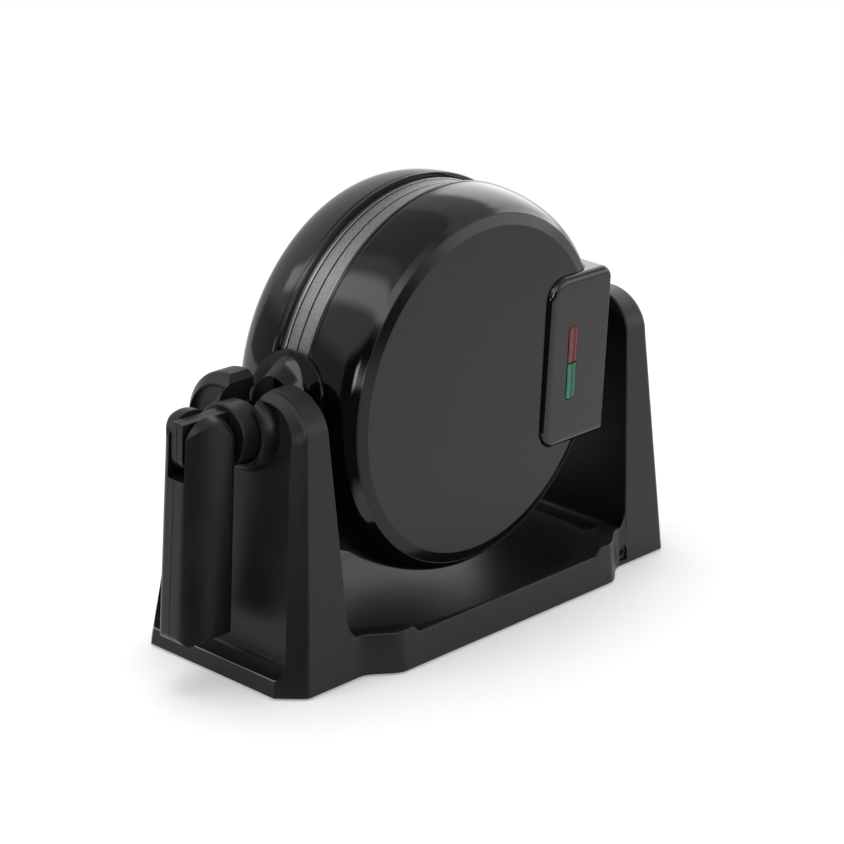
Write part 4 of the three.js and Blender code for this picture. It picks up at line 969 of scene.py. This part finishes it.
def hinge_cover(side):
    """Flat over the face with a rounded edge, then over the flank and down to the parting plane."""
    skirt = COVER_RIGHT + 1.2
    section = [
        (COVER_LEFT - 5, COVER_FACE), (COVER_RIGHT - 0.5, COVER_FACE), (COVER_RIGHT - 0.1, COVER_FACE - 0.1),
        (COVER_RIGHT + 0.2, COVER_FACE - 0.38), (COVER_OUTER - 0.6, COVER_KNEE + 0.75),
        (COVER_OUTER - 0.15, COVER_KNEE + 0.25), (COVER_OUTER, COVER_KNEE - 0.4), (COVER_OUTER, COVER_BACK),
        (skirt, COVER_BACK - 1.95), (skirt, LIP_PLANE), (COVER_LEFT - 5, LIP_PLANE),
    ]
    low, high = AXIS + COVER_BOTTOM - PAST, AXIS + COVER_TOP + PAST
    body = prism([(x, y * side) for x, y in section], "Z", low, high)
    layers = [
        (COVER_ROUND_WIDTH * in_by, COVER_FACE - COVER_ROUND_DEPTH * down)
        for in_by, down in corner_steps([11.25 * i for i in range(9)])
    ]
    rings = []
    for inset, y in layers + [(0, 0)]:
        rings.append([(x, side * y, z) for x, z in cover_outline(inset, COVER_SIDE + inset)])
    near, far = sorted((0, side * COVER_FACE))
    housing = box(COVER_RIGHT, COVER_OUTER, near, far, AXIS + HOUSING_LOW, AXIS + HOUSING_TOP)
    return cut(common(body, [joined(loft(rings), [bevelled(housing, 1.2)])]), [drum_room(side, GAP)])


def lens_outline(direction, gap):
    """Outline of a lens in X and Z, pointed at the end away from the middle."""
    near, far = LENS_NEAR - gap, LENS_FAR + gap
    left, right = LENS_LEFT - gap, LENS_RIGHT + gap
    tip = [
        (left, far - 2.4), (left + 0.5, far - 1.2), (left + 1.5, far - 0.55), ((left + right) / 2, far),
        (right - 1.5, far - 0.55), (right - 0.5, far - 1.2), (right, far - 2.4),
    ]
    outline = [(right, near)] + list(reversed(tip)) + [(left, near)]
    return [(x, LAMP_Z + direction * z) for x, z in outline]


def lens_body(direction, gap=0.0, longer=0.0):
    front = -COVER_FACE - 0.3
    return prism(lens_outline(direction, gap), "Y", front - longer, front + LENS_THICKNESS + longer)


def on_cover_edge(centre, normal):
    """The rounding along the left and lower edges of a hinge cover, in a glossier and darker black whose
    darker colour is painted shade for the dark reflection there.
    """
    rounding = abs(normal.y) < 0.985 and abs(centre.y) > 28 and centre.x < COVER_SIDE
    return int(rounding and (normal.x < -0.1 or normal.z < -0.25))


lamp_cover = cut(hinge_cover(-1), [
    lens_body(1, 0.35, PAST),
    lens_body(-1, 0.35, PAST),
    box(61.4, 69.4, -COVER_FACE + 1.3, -COVER_FACE + 9.7, LAMP_Z - LAMP_ROOM_HALF, LAMP_Z + LAMP_ROOM_HALF),
    rod(1.85, "Z", 0, AXIS * 2, (HINGE_X, HINGE_Y), 32),
    box(HINGE_X - 4.5, HINGE_X + 9.5, HINGE_Y - 4.5, 0, AXIS - BRACKET_ROOM, AXIS + BRACKET_ROOM),
])
dial_cover = cut(hinge_cover(1), [
    rod(3.25, "Y", 0, COVER_FACE + PAST, (DIAL_X, AXIS), 32),
    box(85.4, 113.6, 0, 36.3, AXIS - BRACKET_ROOM, AXIS + BRACKET_ROOM),
])
# The cover's face is in the moulded black. Its rounding is in the polished black, which is glossier and also
# darker, and that darker colour paints the shade of the dark band along the edge
cover_look_with_painted_band = [cover_black, gloss_black]
for name, shape, body, slot, finish, node, pick in (
    ("lamp_cover", lamp_cover, "lid", "gloss_black", cover_look_with_painted_band, "lid_lamp_cover", on_cover_edge),
    ("lamp_red", bevelled(lens_body(1), 0.45), "lid", "red_lens", lens_red, "red_lens", None),
    ("lamp_green", bevelled(lens_body(-1), 0.45), "lid", "green_lens", lens_green, "green_lens", None),
    ("dial_cover", dial_cover, "carrier", "gloss_black", cover_look_with_painted_band, "lower_dial_cover", on_cover_edge),
):
    add_piece(name, shape, body, slot, finish, [node], pick=pick)


def peg():
    """One pocket peg, drawn flat: its foot at 0 and its rounded top outward."""
    rings = []
    for half, rise in PEG_STEPS:
        ring = []
        for qx, qy, start in ((1, 1, 0), (-1, 1, 90), (-1, -1, 180), (1, -1, 270)):
            px, py = qx * (half - PEG_CORNER), qy * (half - PEG_CORNER)
            ring += [(u, v, rise) for u, v in arc(px, py, PEG_CORNER, start, start + 90, 3)]
        rings.append(ring)
    return loft(rings)


def pegs(side):
    """A field of pegs in each quarter, without those that the bowl's wall would cut."""
    fields = []
    for sx in (-1, 1):
        for sz in (-1, 1):
            field = repeated(peg(), GRID, coating, PEG_FIELD)
            field = moved(field, Matrix.Diagonal((sx, sz, 1, 1)))
            fields.append(moved(field, from_face(side * BED, -side, DRUM_X, AXIS)))
    return fields


def rails(side):
    """The cross that divides the waffle in four."""
    near, far = sorted((side * RAIL_TOP, side * BED))
    return [
        box(DRUM_X - wide, DRUM_X + wide, near, far, AXIS - high, AXIS + high)
        for wide, high in ((RAIL_LENGTH, RAIL_HALF), (RAIL_HALF, RAIL_LENGTH))
    ]


def in_bowl(centre, normal):
    """The coated inside of a plate, within its silver rim."""
    return int(hypot(centre.x - DRUM_X, centre.z - AXIS) < BOWL_RADIUS and abs(centre.y) < BED + 0.1)


def pan(side):
    outer = LIP_RADIUS - SHELL_WALL - 0.4
    profile = [
        (0, 33), (84, 33), (97.9, 8.5), (97.9, 7.7), (98.2, 7.5), (outer - 0.3, 7.5),
        (outer, 7.8), (outer, 12.5), (outer - 1, 12.5), (outer - 1, 8.5), (98.9, 8.5), (85, 34), (0, 34),
    ]
    return drum_turned(profile, side)


HALVES = ((-1, "lid", "lid"), (1, "carrier", "lower"))
for side, body, name in HALVES:
    plate = joined(drum_turned(PLATE_PROFILE, side), rails(side) + pegs(side))
    finish = [cast_silver, coating]
    add_piece(f"{name}_plate", plate, body, "cast_aluminium", finish, [f"{name}_waffle_plate"], pick=in_bowl)
for side, body, name in HALVES:
    add_piece(f"{name}_pan", pan(side), body, "pan_steel", pan_steel, [f"{name}_reflector_pan"])


def bracket():
    """The arm from the far half to the pivot, with the lug of the lid's hinge pin."""
    lug, back, inner, outer = 3.9, 108.6, 85.7, 103.7
    outline = arc(HINGE_X, HINGE_Y, lug, 150, 360, 22)
    outline += [
        (back, HINGE_Y + lug), (back, -14), (116.4, -10.1), (116.4, 32.1), (back, 36),
        (inner, 36), (inner, LIP_PLANE), (outer, LIP_PLANE), (outer, HINGE_Y + lug),
    ]
    body = prism(outline, "Z", AXIS - BRACKET_HALF, AXIS + BRACKET_HALF)
    body = cut(body, [drum_room(1, GAP)])
    body = joined(body, [rod(14, "X", back, 119.3, (0, AXIS), 64)])
    return cut(body, [
        rod(1.75, "Z", 0, AXIS * 2, (HINGE_X, HINGE_Y), 32),
        rod(7.3, "X", 111.1, 124.3, (0, AXIS)),
    ])


pivot_pipe, bearing_bush = (spin(profile, round_axis, 64) for profile in (TUBE_PROFILE, BUSH_PROFILE))
add_piece("pivot_bracket", bracket(), "carrier", "gloss_black", satin_black, ["hinge_bracket"])
add_piece("pivot_pipe", pivot_pipe, "carrier", "pan_steel", pin_steel, ["pivot_tube"])
add_piece("bearing_bush", bearing_bush, "base", "bearing_plastic", bearing_white, ["hinge_side_bush"])


# Neck, hub and handle

def neck_ring(side, x, half_height, depth, fullness):
    ring = []
    for t in shares(48):
        c, s = abs(cos(pi * (t - 0.5))), sin(pi * (t - 0.5))
        stretch = oval_stretch(c, s, fullness)
        ring.append((x, side * (SEAM + depth * c * stretch), AXIS + half_height * s * stretch))
    return ring


def smooth_curve(table, t):
    """Value at t on a smooth curve through (place, value) pairs."""
    for i in range(len(table) - 1):
        if t <= table[i + 1][0] or i == len(table) - 2:
            break
    before, after = max(i - 1, 0), min(i + 2, len(table) - 1)
    (x0, y0), (x1, y1) = table[i], table[i + 1]
    slope0 = (y1 - table[before][1]) / (x1 - table[before][0])
    slope1 = (table[after][1] - y0) / (table[after][0] - x0)
    u = (t - x0) / (x1 - x0)
    run = x1 - x0
    return (
        (2 * u ** 3 - 3 * u ** 2 + 1) * y0
        + (u ** 3 - 2 * u ** 2 + u) * run * slope0
        + (3 * u ** 2 - 2 * u ** 3) * y1
        + (u ** 3 - u ** 2) * run * slope1
    )


def neck(side):
    """The fairing between drum and hub, with a thin flange against the drum."""
    full, flange_full = (2.3, 2.9) if side < 0 else (1.95, 1.8)
    rings = []
    for i in range(39):
        along = NECK_LENGTH * i / 38
        height, depth = smooth_curve(NECK_HEIGHTS, along), smooth_curve(NECK_DEPTHS, along)
        rings.append(neck_ring(side, NECK_END + along, height, depth, full))
    flange = loft([
        neck_ring(side, NECK_END + 24, 35.0, 27.1, flange_full),
        neck_ring(side, NECK_END, 33.8, 25.9, flange_full),
    ])
    flange = common(flange, [drum_room(side, 1.7)])
    return cut(joined(loft(rings), [bevelled(flange, 0.35, 2)]), [drum_room(side, GAP)])


add_piece("neck_front_gloss", neck(-1), "lid", "gloss_black", gloss_black, ["neck_front"])
add_piece("neck_rear_matt", neck(1), "carrier", "satin_black", rough_black, ["neck_rear"])


def half_room(side, right, low, high):
    """The room of one lengthwise half of hub or handle, up to the seam."""
    near, far = (-FAR, -SEAM) if side < 0 else (SEAM, FAR)
    return box(FOLD_X - FAR, right, near, far, low, high)


def hub_half(side):
    """Half of the journal, collar and hub, with the tongue that carries the handle."""
    profile = [
        (0, NECK_END - 0.3), (JOURNAL_RADIUS, NECK_END - 0.3), (JOURNAL_RADIUS, HUB_START),
        (COLLAR_RADIUS - 0.4, HUB_START), (COLLAR_RADIUS, HUB_START - 0.4), (COLLAR_RADIUS, HUB_COLLAR),
        (HUB_RADIUS - 0.8, HUB_COLLAR), (HUB_RADIUS - 0.25, HUB_COLLAR - 0.2), (HUB_RADIUS, HUB_COLLAR - 0.8),
        (HUB_RADIUS, HUB_END + 1.2), (HUB_RADIUS - 0.15, HUB_END + 0.6), (HUB_RADIUS - 0.6, HUB_END + 0.15),
        (HUB_RADIUS - 1.2, HUB_END), (0, HUB_END),
    ]
    root = HUB_END + 5
    outline = [(root, AXIS + TONGUE_REACH), (FOLD_X - TONGUE_REACH, AXIS + TONGUE_REACH)]
    outline += arc(FOLD_X - 6, AXIS - 4, TONGUE_ROUND, 180, 270, 14)
    outline += [(root, AXIS - TONGUE_REACH)]
    tongue = prism(outline, "Y", -TONGUE_HALF, TONGUE_HALF)
    hub = joined(spin(profile, round_axis, 96), [bevelled(tongue, 0.5, 2)])
    hub = cut(hub, [rod(2.8, "Y", -15, 15, (FOLD_X, AXIS), 32)])
    return common(hub, [half_room(side, NECK_END, AXIS - FAR, AXIS + FAR)])


add_piece("hub_front_half", hub_half(-1), "carrier", "satin_black", satin_black, ["hub_front"])
add_piece("hub_rear_half", hub_half(1), "carrier", "satin_black", satin_black, ["hub_rear"])


def handle_section(outer):
    """Section of the handle in X and Y: a narrow flat outside, full sides, rounded inner edges."""
    rounding = HANDLE_INNER_ROUND
    shoulder = FOLD_X + HANDLE_DEPTH / 2 - rounding
    belly = shoulder - outer
    points = []
    for i in range(19):
        angle = pi / 2 * i / 18
        side = rounding + (HANDLE_HALF - rounding) * sin(angle)
        points.append((shoulder - belly * cos(angle), side))
    points += arc(shoulder, HANDLE_HALF - rounding, rounding, 90, 0, 10)[1:]
    return with_mirror(points, 1, -1)


def handle_room():
    """Room of the handle: a round top that falls away towards its sides, and all below the fold."""
    front = [(HANDLE_CROWN - fall, -y) for y, fall in reversed(FRONT_FALL)]
    rear = [(HANDLE_CROWN - fall, y) for y, fall in REAR_FALL]
    profile = [(0, front[0][1])] + front + rear + [(0, rear[-1][1])]
    crown = spin(profile, lambda along, u, v: (FOLD_X + u, along, AXIS + v), 128)
    below = box(FOLD_X - FAR, FOLD_X + FAR, -FAR, FAR, AXIS - HANDLE_LENGTH * 2, AXIS)
    return joined(crown, [below])


def round_foot(left, right):
    """The two round lower corners of the handle, from right to left."""
    corner = HANDLE_CORNER
    low = -HANDLE_LENGTH + corner
    return arc(right - corner, low, corner, 0, -90, 14) + arc(left + corner, low, corner, 270, 180, 14)


def handle_half(side):
    """Half of the handle: widest at its foot, with round ends and a slot for the tongue."""
    inner, outer = FOLD_X + HANDLE_DEPTH / 2, FOLD_X - HANDLE_DEPTH / 2
    foot, end = outer - HANDLE_TAPER, HANDLE_HALF + 0.3
    rings = []
    for x, z in ((foot, -HANDLE_LENGTH - 0.3), (outer, 0), (outer, HANDLE_CROWN + 0.3)):
        rings.append([(px, py, AXIS + z) for px, py in handle_section(x)])
    side_view = [(foot, FAR), (inner, FAR)] + round_foot(foot, inner)
    front_view = [(end, FAR)] + round_foot(-end, end) + [(-end, FAR)]
    body = common(loft(rings), [
        handle_room(),
        prism([(x, z + AXIS) for x, z in side_view], "Y", -FAR, FAR),
        prism([(y, z + AXIS) for y, z in front_view], "X", FOLD_X - FAR, FOLD_X + FAR),
        half_room(side, FOLD_X + FAR, AXIS - HANDLE_LENGTH * 2, AXIS + FAR),
    ])
    slot = box(FOLD_X - FAR, FOLD_X + FAR, -SLOT_FRONT, SLOT_REAR, AXIS - SLOT_FLOOR, AXIS + FAR)
    pin_hole = rod(2.75, "Y", -11.3, 11.3, (FOLD_X, AXIS), 32)
    return bevelled(cut(body, [bevelled(slot, 1.2), pin_hole]), 0.3, 2, 24)


for side, body, name in ((-1, "front_handle_half", "handle_front"), (1, "rear_handle_half", "handle_rear")):
    add_piece(f"{name}_grip", handle_half(side), body, "satin_black", satin_black, [name], angle=24)


# Dial

def dial():
    """Round knob with ribs on its rim, a pointer and its shaft."""
    body = bevelled(rod(DIAL_RADIUS, "Y", DIAL_FACE, DIAL_TOP, (DIAL_X, AXIS), 96), 0.6, 3, 60)
    ribs = repeated(rod(0.8, "Z", 0, 6.3, (0, 0), 12), RING, satin_black, {
        "Count": 20,
        "Radius": DIAL_RADIUS - 0.05,
        "Start": 0.0,
        "Step": radians(18),
    })
    ribs = moved(ribs, from_face(DIAL_FACE + 0.2, 1, DIAL_X, AXIS))
    pointer = box(DIAL_X - 0.8, DIAL_X + 0.8, DIAL_TOP - 0.8, DIAL_TOP + 0.4, AXIS + 3, AXIS + 12.4)
    shaft = rod(3, "Y", 38.1, 48.2, (DIAL_X, AXIS), 32)
    return joined(body, [ribs, bevelled(pointer, 0.2, 2), shaft])


def number_print(number):
    """A plain number as thin print, mirrored because from_face turns it over."""
    curve = bpy.data.curves.new("number", "FONT")
    curve.body = str(number)
    curve.size = NUMBER_SIZE
    curve.align_x = "CENTER"
    curve.align_y = "CENTER"
    curve.extrude = PRINT_HALF
    holder = link_object("number", curve)
    shape = evaluated_mesh(holder)
    bpy.data.objects.remove(holder)
    angle = radians(NUMBER_STEP * (number - 1) + SCALE_START)
    place = (NUMBER_RADIUS * cos(angle), NUMBER_RADIUS * sin(angle), PRINT_HALF)
    return moved(shape, Matrix.Translation(place) @ Matrix.Diagonal((-1, 1, 1, 1)))


def dial_scale():
    """Ticks and numbers around the dial, as thin print on the cover."""
    ticks = repeated(box(-0.9, 0.9, -0.22, 0.22, 0, PRINT_HALF * 2), RING, print_white, {
        "Count": 11,
        "Radius": TICK_RADIUS,
        "Start": radians(SCALE_START),
        "Step": radians(TICK_STEP),
    })
    whole = bmesh.new()
    for part in [ticks] + [number_print(number) for number in range(1, 6)]:
        whole.from_mesh(part)
    return moved(cleaned(whole, bpy.data.meshes.new("scale")), from_face(COVER_FACE, 1, DIAL_X, AXIS))


add_piece("dial_knob", dial(), "dial", "satin_black", satin_black, ["browning_dial"])
add_piece("dial_scale", dial_scale(), "carrier", "bearing_plastic", print_white)


# Underside

def underside():
    """Cover under the base with a field of vents and countersunk places for its screws."""
    plain = prism(underside_outline(0), "Z", 0.1, 2.1)
    vent = prism(arc(0, 2.4, 1.5, 0, 180, 8) + arc(0, -2.4, 1.5, 180, 360, 8), "Z", -1, 4)
    sink = rod(3.8, "Z", -1, 1.3, (0, 0), 28)
    openings = [repeated(vent, GRID, rough_black, VENTS), repeated(sink, GRID, rough_black, SCREWS)]
    return cut(bevelled(plain, 0.3, 2, 60), openings)


def screws():
    """Pan heads with a cross slot, one in each countersunk place."""
    head = bevelled(rod(3.1, "Z", 0.35, 1.5, (0, 0), 28), 0.35, 2, 60)
    head = cut(head, [box(-2, 2, -0.45, 0.45, -1, 0.95), box(-0.45, 0.45, -2, 2, -1, 0.95)])
    return repeated(head, GRID, pin_steel, SCREWS)


add_piece("underside_cover", underside(), "base", "satin_black", rough_black, ["bottom_cover"])
add_piece("underside_screws", screws(), "base", "pan_steel", pin_steel)


# Finishes of the nodes that keep their CAD shape

CAD_LOOKS = (
    (rubber, ("cord_gland", "foot_1", "foot_2", "foot_3", "foot_4")),
    (satin_black, ("handle_side_saddle",)),
    (sheath, ("lid_heating_element", "lower_heating_element")),
    (board_green, ("lamp_board",)),
    (pin_steel, ("thermostat", "hinge_pin", "pivot_retainer", "handle_pin")),
)
for material, nodes in CAD_LOOKS:
    for node in nodes:
        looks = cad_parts[node].data.materials
        looks.clear()
        looks.append(material)


# Room

SKY_LIGHT = 0.35
FLOOR_HALF = 6
FLOOR_GLOW = 0.27
FADE_START, FADE_END = 0.5, 1.0


def white_for_camera(tree, plain, white):
    """Mixes a plain shader with a white one for the camera, for reflections and for what is clear."""
    rays = add_node(tree, "LightPath")
    seen = rays["Is Camera Ray"]
    for ray in ("Is Glossy Ray", "Is Transmission Ray"):
        seen = math_node(tree, "MAXIMUM", seen, rays[ray])
    return add_node(tree, "MixShader", {"Fac": seen, 1: plain, 2: white})["Shader"]


world = bpy.data.worlds.new("studio")
world.use_nodes = True
scene.world = world
sky = world.node_tree
dim = sky.nodes["Background"]
dim.inputs["Color"].default_value = (1, 1, 1, 1)
dim.inputs["Strength"].default_value = SKY_LIGHT
bright = add_node(sky, "Background", {"Strength": 1.0})["Background"]
around = white_for_camera(sky, dim.outputs["Background"], bright)
sky.links.new(around, sky.nodes["World Output"].inputs["Surface"])


def flat_object(name, half_width, half_height):
    """A level rectangle with a new material, as a stage object, its mesh and the material's tree."""
    mesh = bpy.data.meshes.new(name)
    a, b = half_width, half_height
    mesh.from_pydata([(-a, -b, 0), (a, -b, 0), (a, b, 0), (-a, b, 0)], [], [(0, 1, 2, 3)])
    look = bpy.data.materials.new(name)
    look.use_nodes = True
    mesh.materials.append(look)
    return link_object(name, mesh), look.node_tree


floor, tree = flat_object("floor", FLOOR_HALF, FLOOR_HALF)
paper = tree.nodes["Principled BSDF"]
paper.inputs["Base Color"].default_value = (0.8, 0.8, 0.8, 1)
paper.inputs["Roughness"].default_value = 0.9
plain = paper.outputs["BSDF"]
glow = add_node(tree, "Emission", {"Strength": FLOOR_GLOW})["Emission"]
lit = add_node(tree, "AddShader", {0: plain, 1: glow})["Shader"]
place = add_node(tree, "TexCoord")["Object"]
reach = add_node(tree, "VectorMath", {0: place}, operation="LENGTH")["Value"]
fade = {"From Min": FADE_START, "From Max": FADE_END, "Value": reach}
away = add_node(tree, "MapRange", fade, interpolation_type="SMOOTHSTEP")["Result"]
sweep = add_node(tree, "Emission", {"Strength": 1.0})["Emission"]
seen = add_node(tree, "MixShader", {"Fac": away, 1: lit, 2: sweep})["Shader"]
tree.links.new(white_for_camera(tree, plain, seen), tree.nodes["Material Output"].inputs["Surface"])


# Lights

MIDDLE = Vector((0, 0, 0.12))


def toward(azimuth, elevation, distance):
    """A place at the given angles and distance from the middle of the object."""
    a, e = radians(azimuth), radians(elevation)
    return MIDDLE + distance * Vector((cos(a) * cos(e), sin(a) * cos(e), sin(e)))


def facing_middle(place):
    return (MIDDLE - place).to_track_quat("-Z", "Y").to_euler()


def add_softbox(name, place, width, height, power):
    """A soft lamp for plain light; its reflection is left to the cards."""
    data = bpy.data.lights.new(name, "AREA")
    data.shape = "RECTANGLE"
    data.size = width
    data.size_y = height
    data.energy = power
    lamp = link_object(name, data)
    lamp.location = place
    lamp.rotation_euler = facing_middle(lamp.location)
    lamp.visible_glossy = False


def add_card(name, place, turn, width, height, level, soft):
    """A card with soft edges that only reflections show: bright as a softbox, or black as a flag."""
    card, tree = flat_object(name, width / 2, height / 2)
    card.location = place
    card.rotation_euler = turn
    for ray in ("camera", "diffuse", "shadow", "transmission"):
        setattr(card, "visible_" + ray, False)
    tree.nodes.clear()
    place = add_node(tree, "TexCoord")["Object"]
    parts = add_node(tree, "SeparateXYZ", {"Vector": place})
    fades = []
    for axis, half in (("X", width / 2), ("Y", height / 2)):
        fade = {"From Min": half, "From Max": half - soft, "Value": math_node(tree, "ABSOLUTE", parts[axis])}
        fades.append(add_node(tree, "MapRange", fade, interpolation_type="SMOOTHSTEP")["Result"])
    clear = add_node(tree, "BsdfTransparent")["BSDF"]
    shine = add_node(tree, "Emission", {"Strength": level})["Emission"]
    look = {"Fac": math_node(tree, "MULTIPLY", *fades), 1: clear, 2: shine}
    add_node(tree, "OutputMaterial", {"Surface": add_node(tree, "MixShader", look)["Shader"]})


# Name, place, width, height and power
SOFTBOXES = (
    ("top softbox", (0.15, 0.35, 1.5), 1.4, 1.0, 16),
    ("left softbox", (-1.5, 0.35, 0.8), 0.7, 1.0, 9),
    ("front softbox", (0.5, -1.6, 1.0), 1.0, 0.8, 7),
)
for softbox in SOFTBOXES:
    add_softbox(*softbox)

# Name, azimuth, elevation and distance, then width, height, brightness and soft edge
FACING_CARDS = (
    ("left reflector", 180, 54, 1.5, 4.4, 0.66, 2.7, 0.22),
    ("right reflector", 12, 24, 1.5, 1.6, 1.3, 2.7, 0.2),
    ("front reflector", -98, 31, 1.15, 0.8, 0.8, 2.3, 0.2),
    ("key reflector", -106, 14, 1.05, 0.32, 0.3, 8, 0.08),
    ("fill reflector", -138, 7, 1.1, 0.34, 0.3, 6, 0.1),
    ("low reflector", -38, 11, 1.4, 1.2, 0.5, 2.4, 0.1),
    ("low flag", -82, 4, 1.0, 0.5, 0.34, 0, 0.06),
)
for name, azimuth, elevation, distance, *look in FACING_CARDS:
    spot = toward(azimuth, elevation, distance)
    add_card(name, spot, facing_middle(spot), *look)

# The ceiling and two flags lie level, and two flags stand upright
add_card("ceiling", Vector((0.1, 0, 1.7)), (0, 0, 0), 1.3, 2.6, 0.45, 0.2)
UPRIGHT = radians(90)
add_card("front flag", toward(-130, 8, 1.3), (UPRIGHT, 0, radians(-40)), 2.8, 1.2, 0.03, 0.35)
add_card("left flag", toward(148, 5, 1.35), (UPRIGHT, 0, radians(58)), 3.2, 1.15, 0.3, 0.35)
add_card("floor flag", Vector((-0.848, -0.77, 0.0008)), (0, 0, 0), 1.466, 1.48, 0.06, 0.04)
add_card("handle flag", Vector((-0.12, -0.37, 0.0011)), (0, 0, 0), 0.16, 0.46, 0.06, 0.03)


# Camera of the photo, solved from the drum's face and the towers' edges

CAMERA_AZIMUTH, CAMERA_ELEVATION, CAMERA_ROLL = (radians(a) for a in (-48.84, 20.361, 2.595))
AIM = Vector((-78.053, -79.362, 144.579)) * MM
CAMERA_DISTANCE = 1476.07 * MM
FOCAL_PIXELS, PHOTO_PIXELS = 2952.1, 844
SENSOR_WIDTH = 36

back = Vector((
    sin(CAMERA_AZIMUTH) * cos(CAMERA_ELEVATION),
    -cos(CAMERA_AZIMUTH) * cos(CAMERA_ELEVATION),
    sin(CAMERA_ELEVATION),
))
right = Vector((cos(CAMERA_AZIMUTH), sin(CAMERA_AZIMUTH), 0))
up = back.cross(right)
turned_right = right * cos(CAMERA_ROLL) + up * sin(CAMERA_ROLL)
turned_up = up * cos(CAMERA_ROLL) - right * sin(CAMERA_ROLL)
camera_data = bpy.data.cameras.new("camera")
camera_data.sensor_fit = "HORIZONTAL"
camera_data.sensor_width = SENSOR_WIDTH
camera_data.lens = FOCAL_PIXELS / PHOTO_PIXELS * SENSOR_WIDTH
camera_data.clip_end = 50
camera = link_object("camera", camera_data)
stand = Matrix.Identity(4)
for column, axis in enumerate((turned_right, turned_up, back, AIM + back * CAMERA_DISTANCE)):
    for row in range(3):
        stand[row][column] = axis[row]
camera.matrix_world = stand
scene.camera = camera
scene.view_settings.view_transform = "Standard"
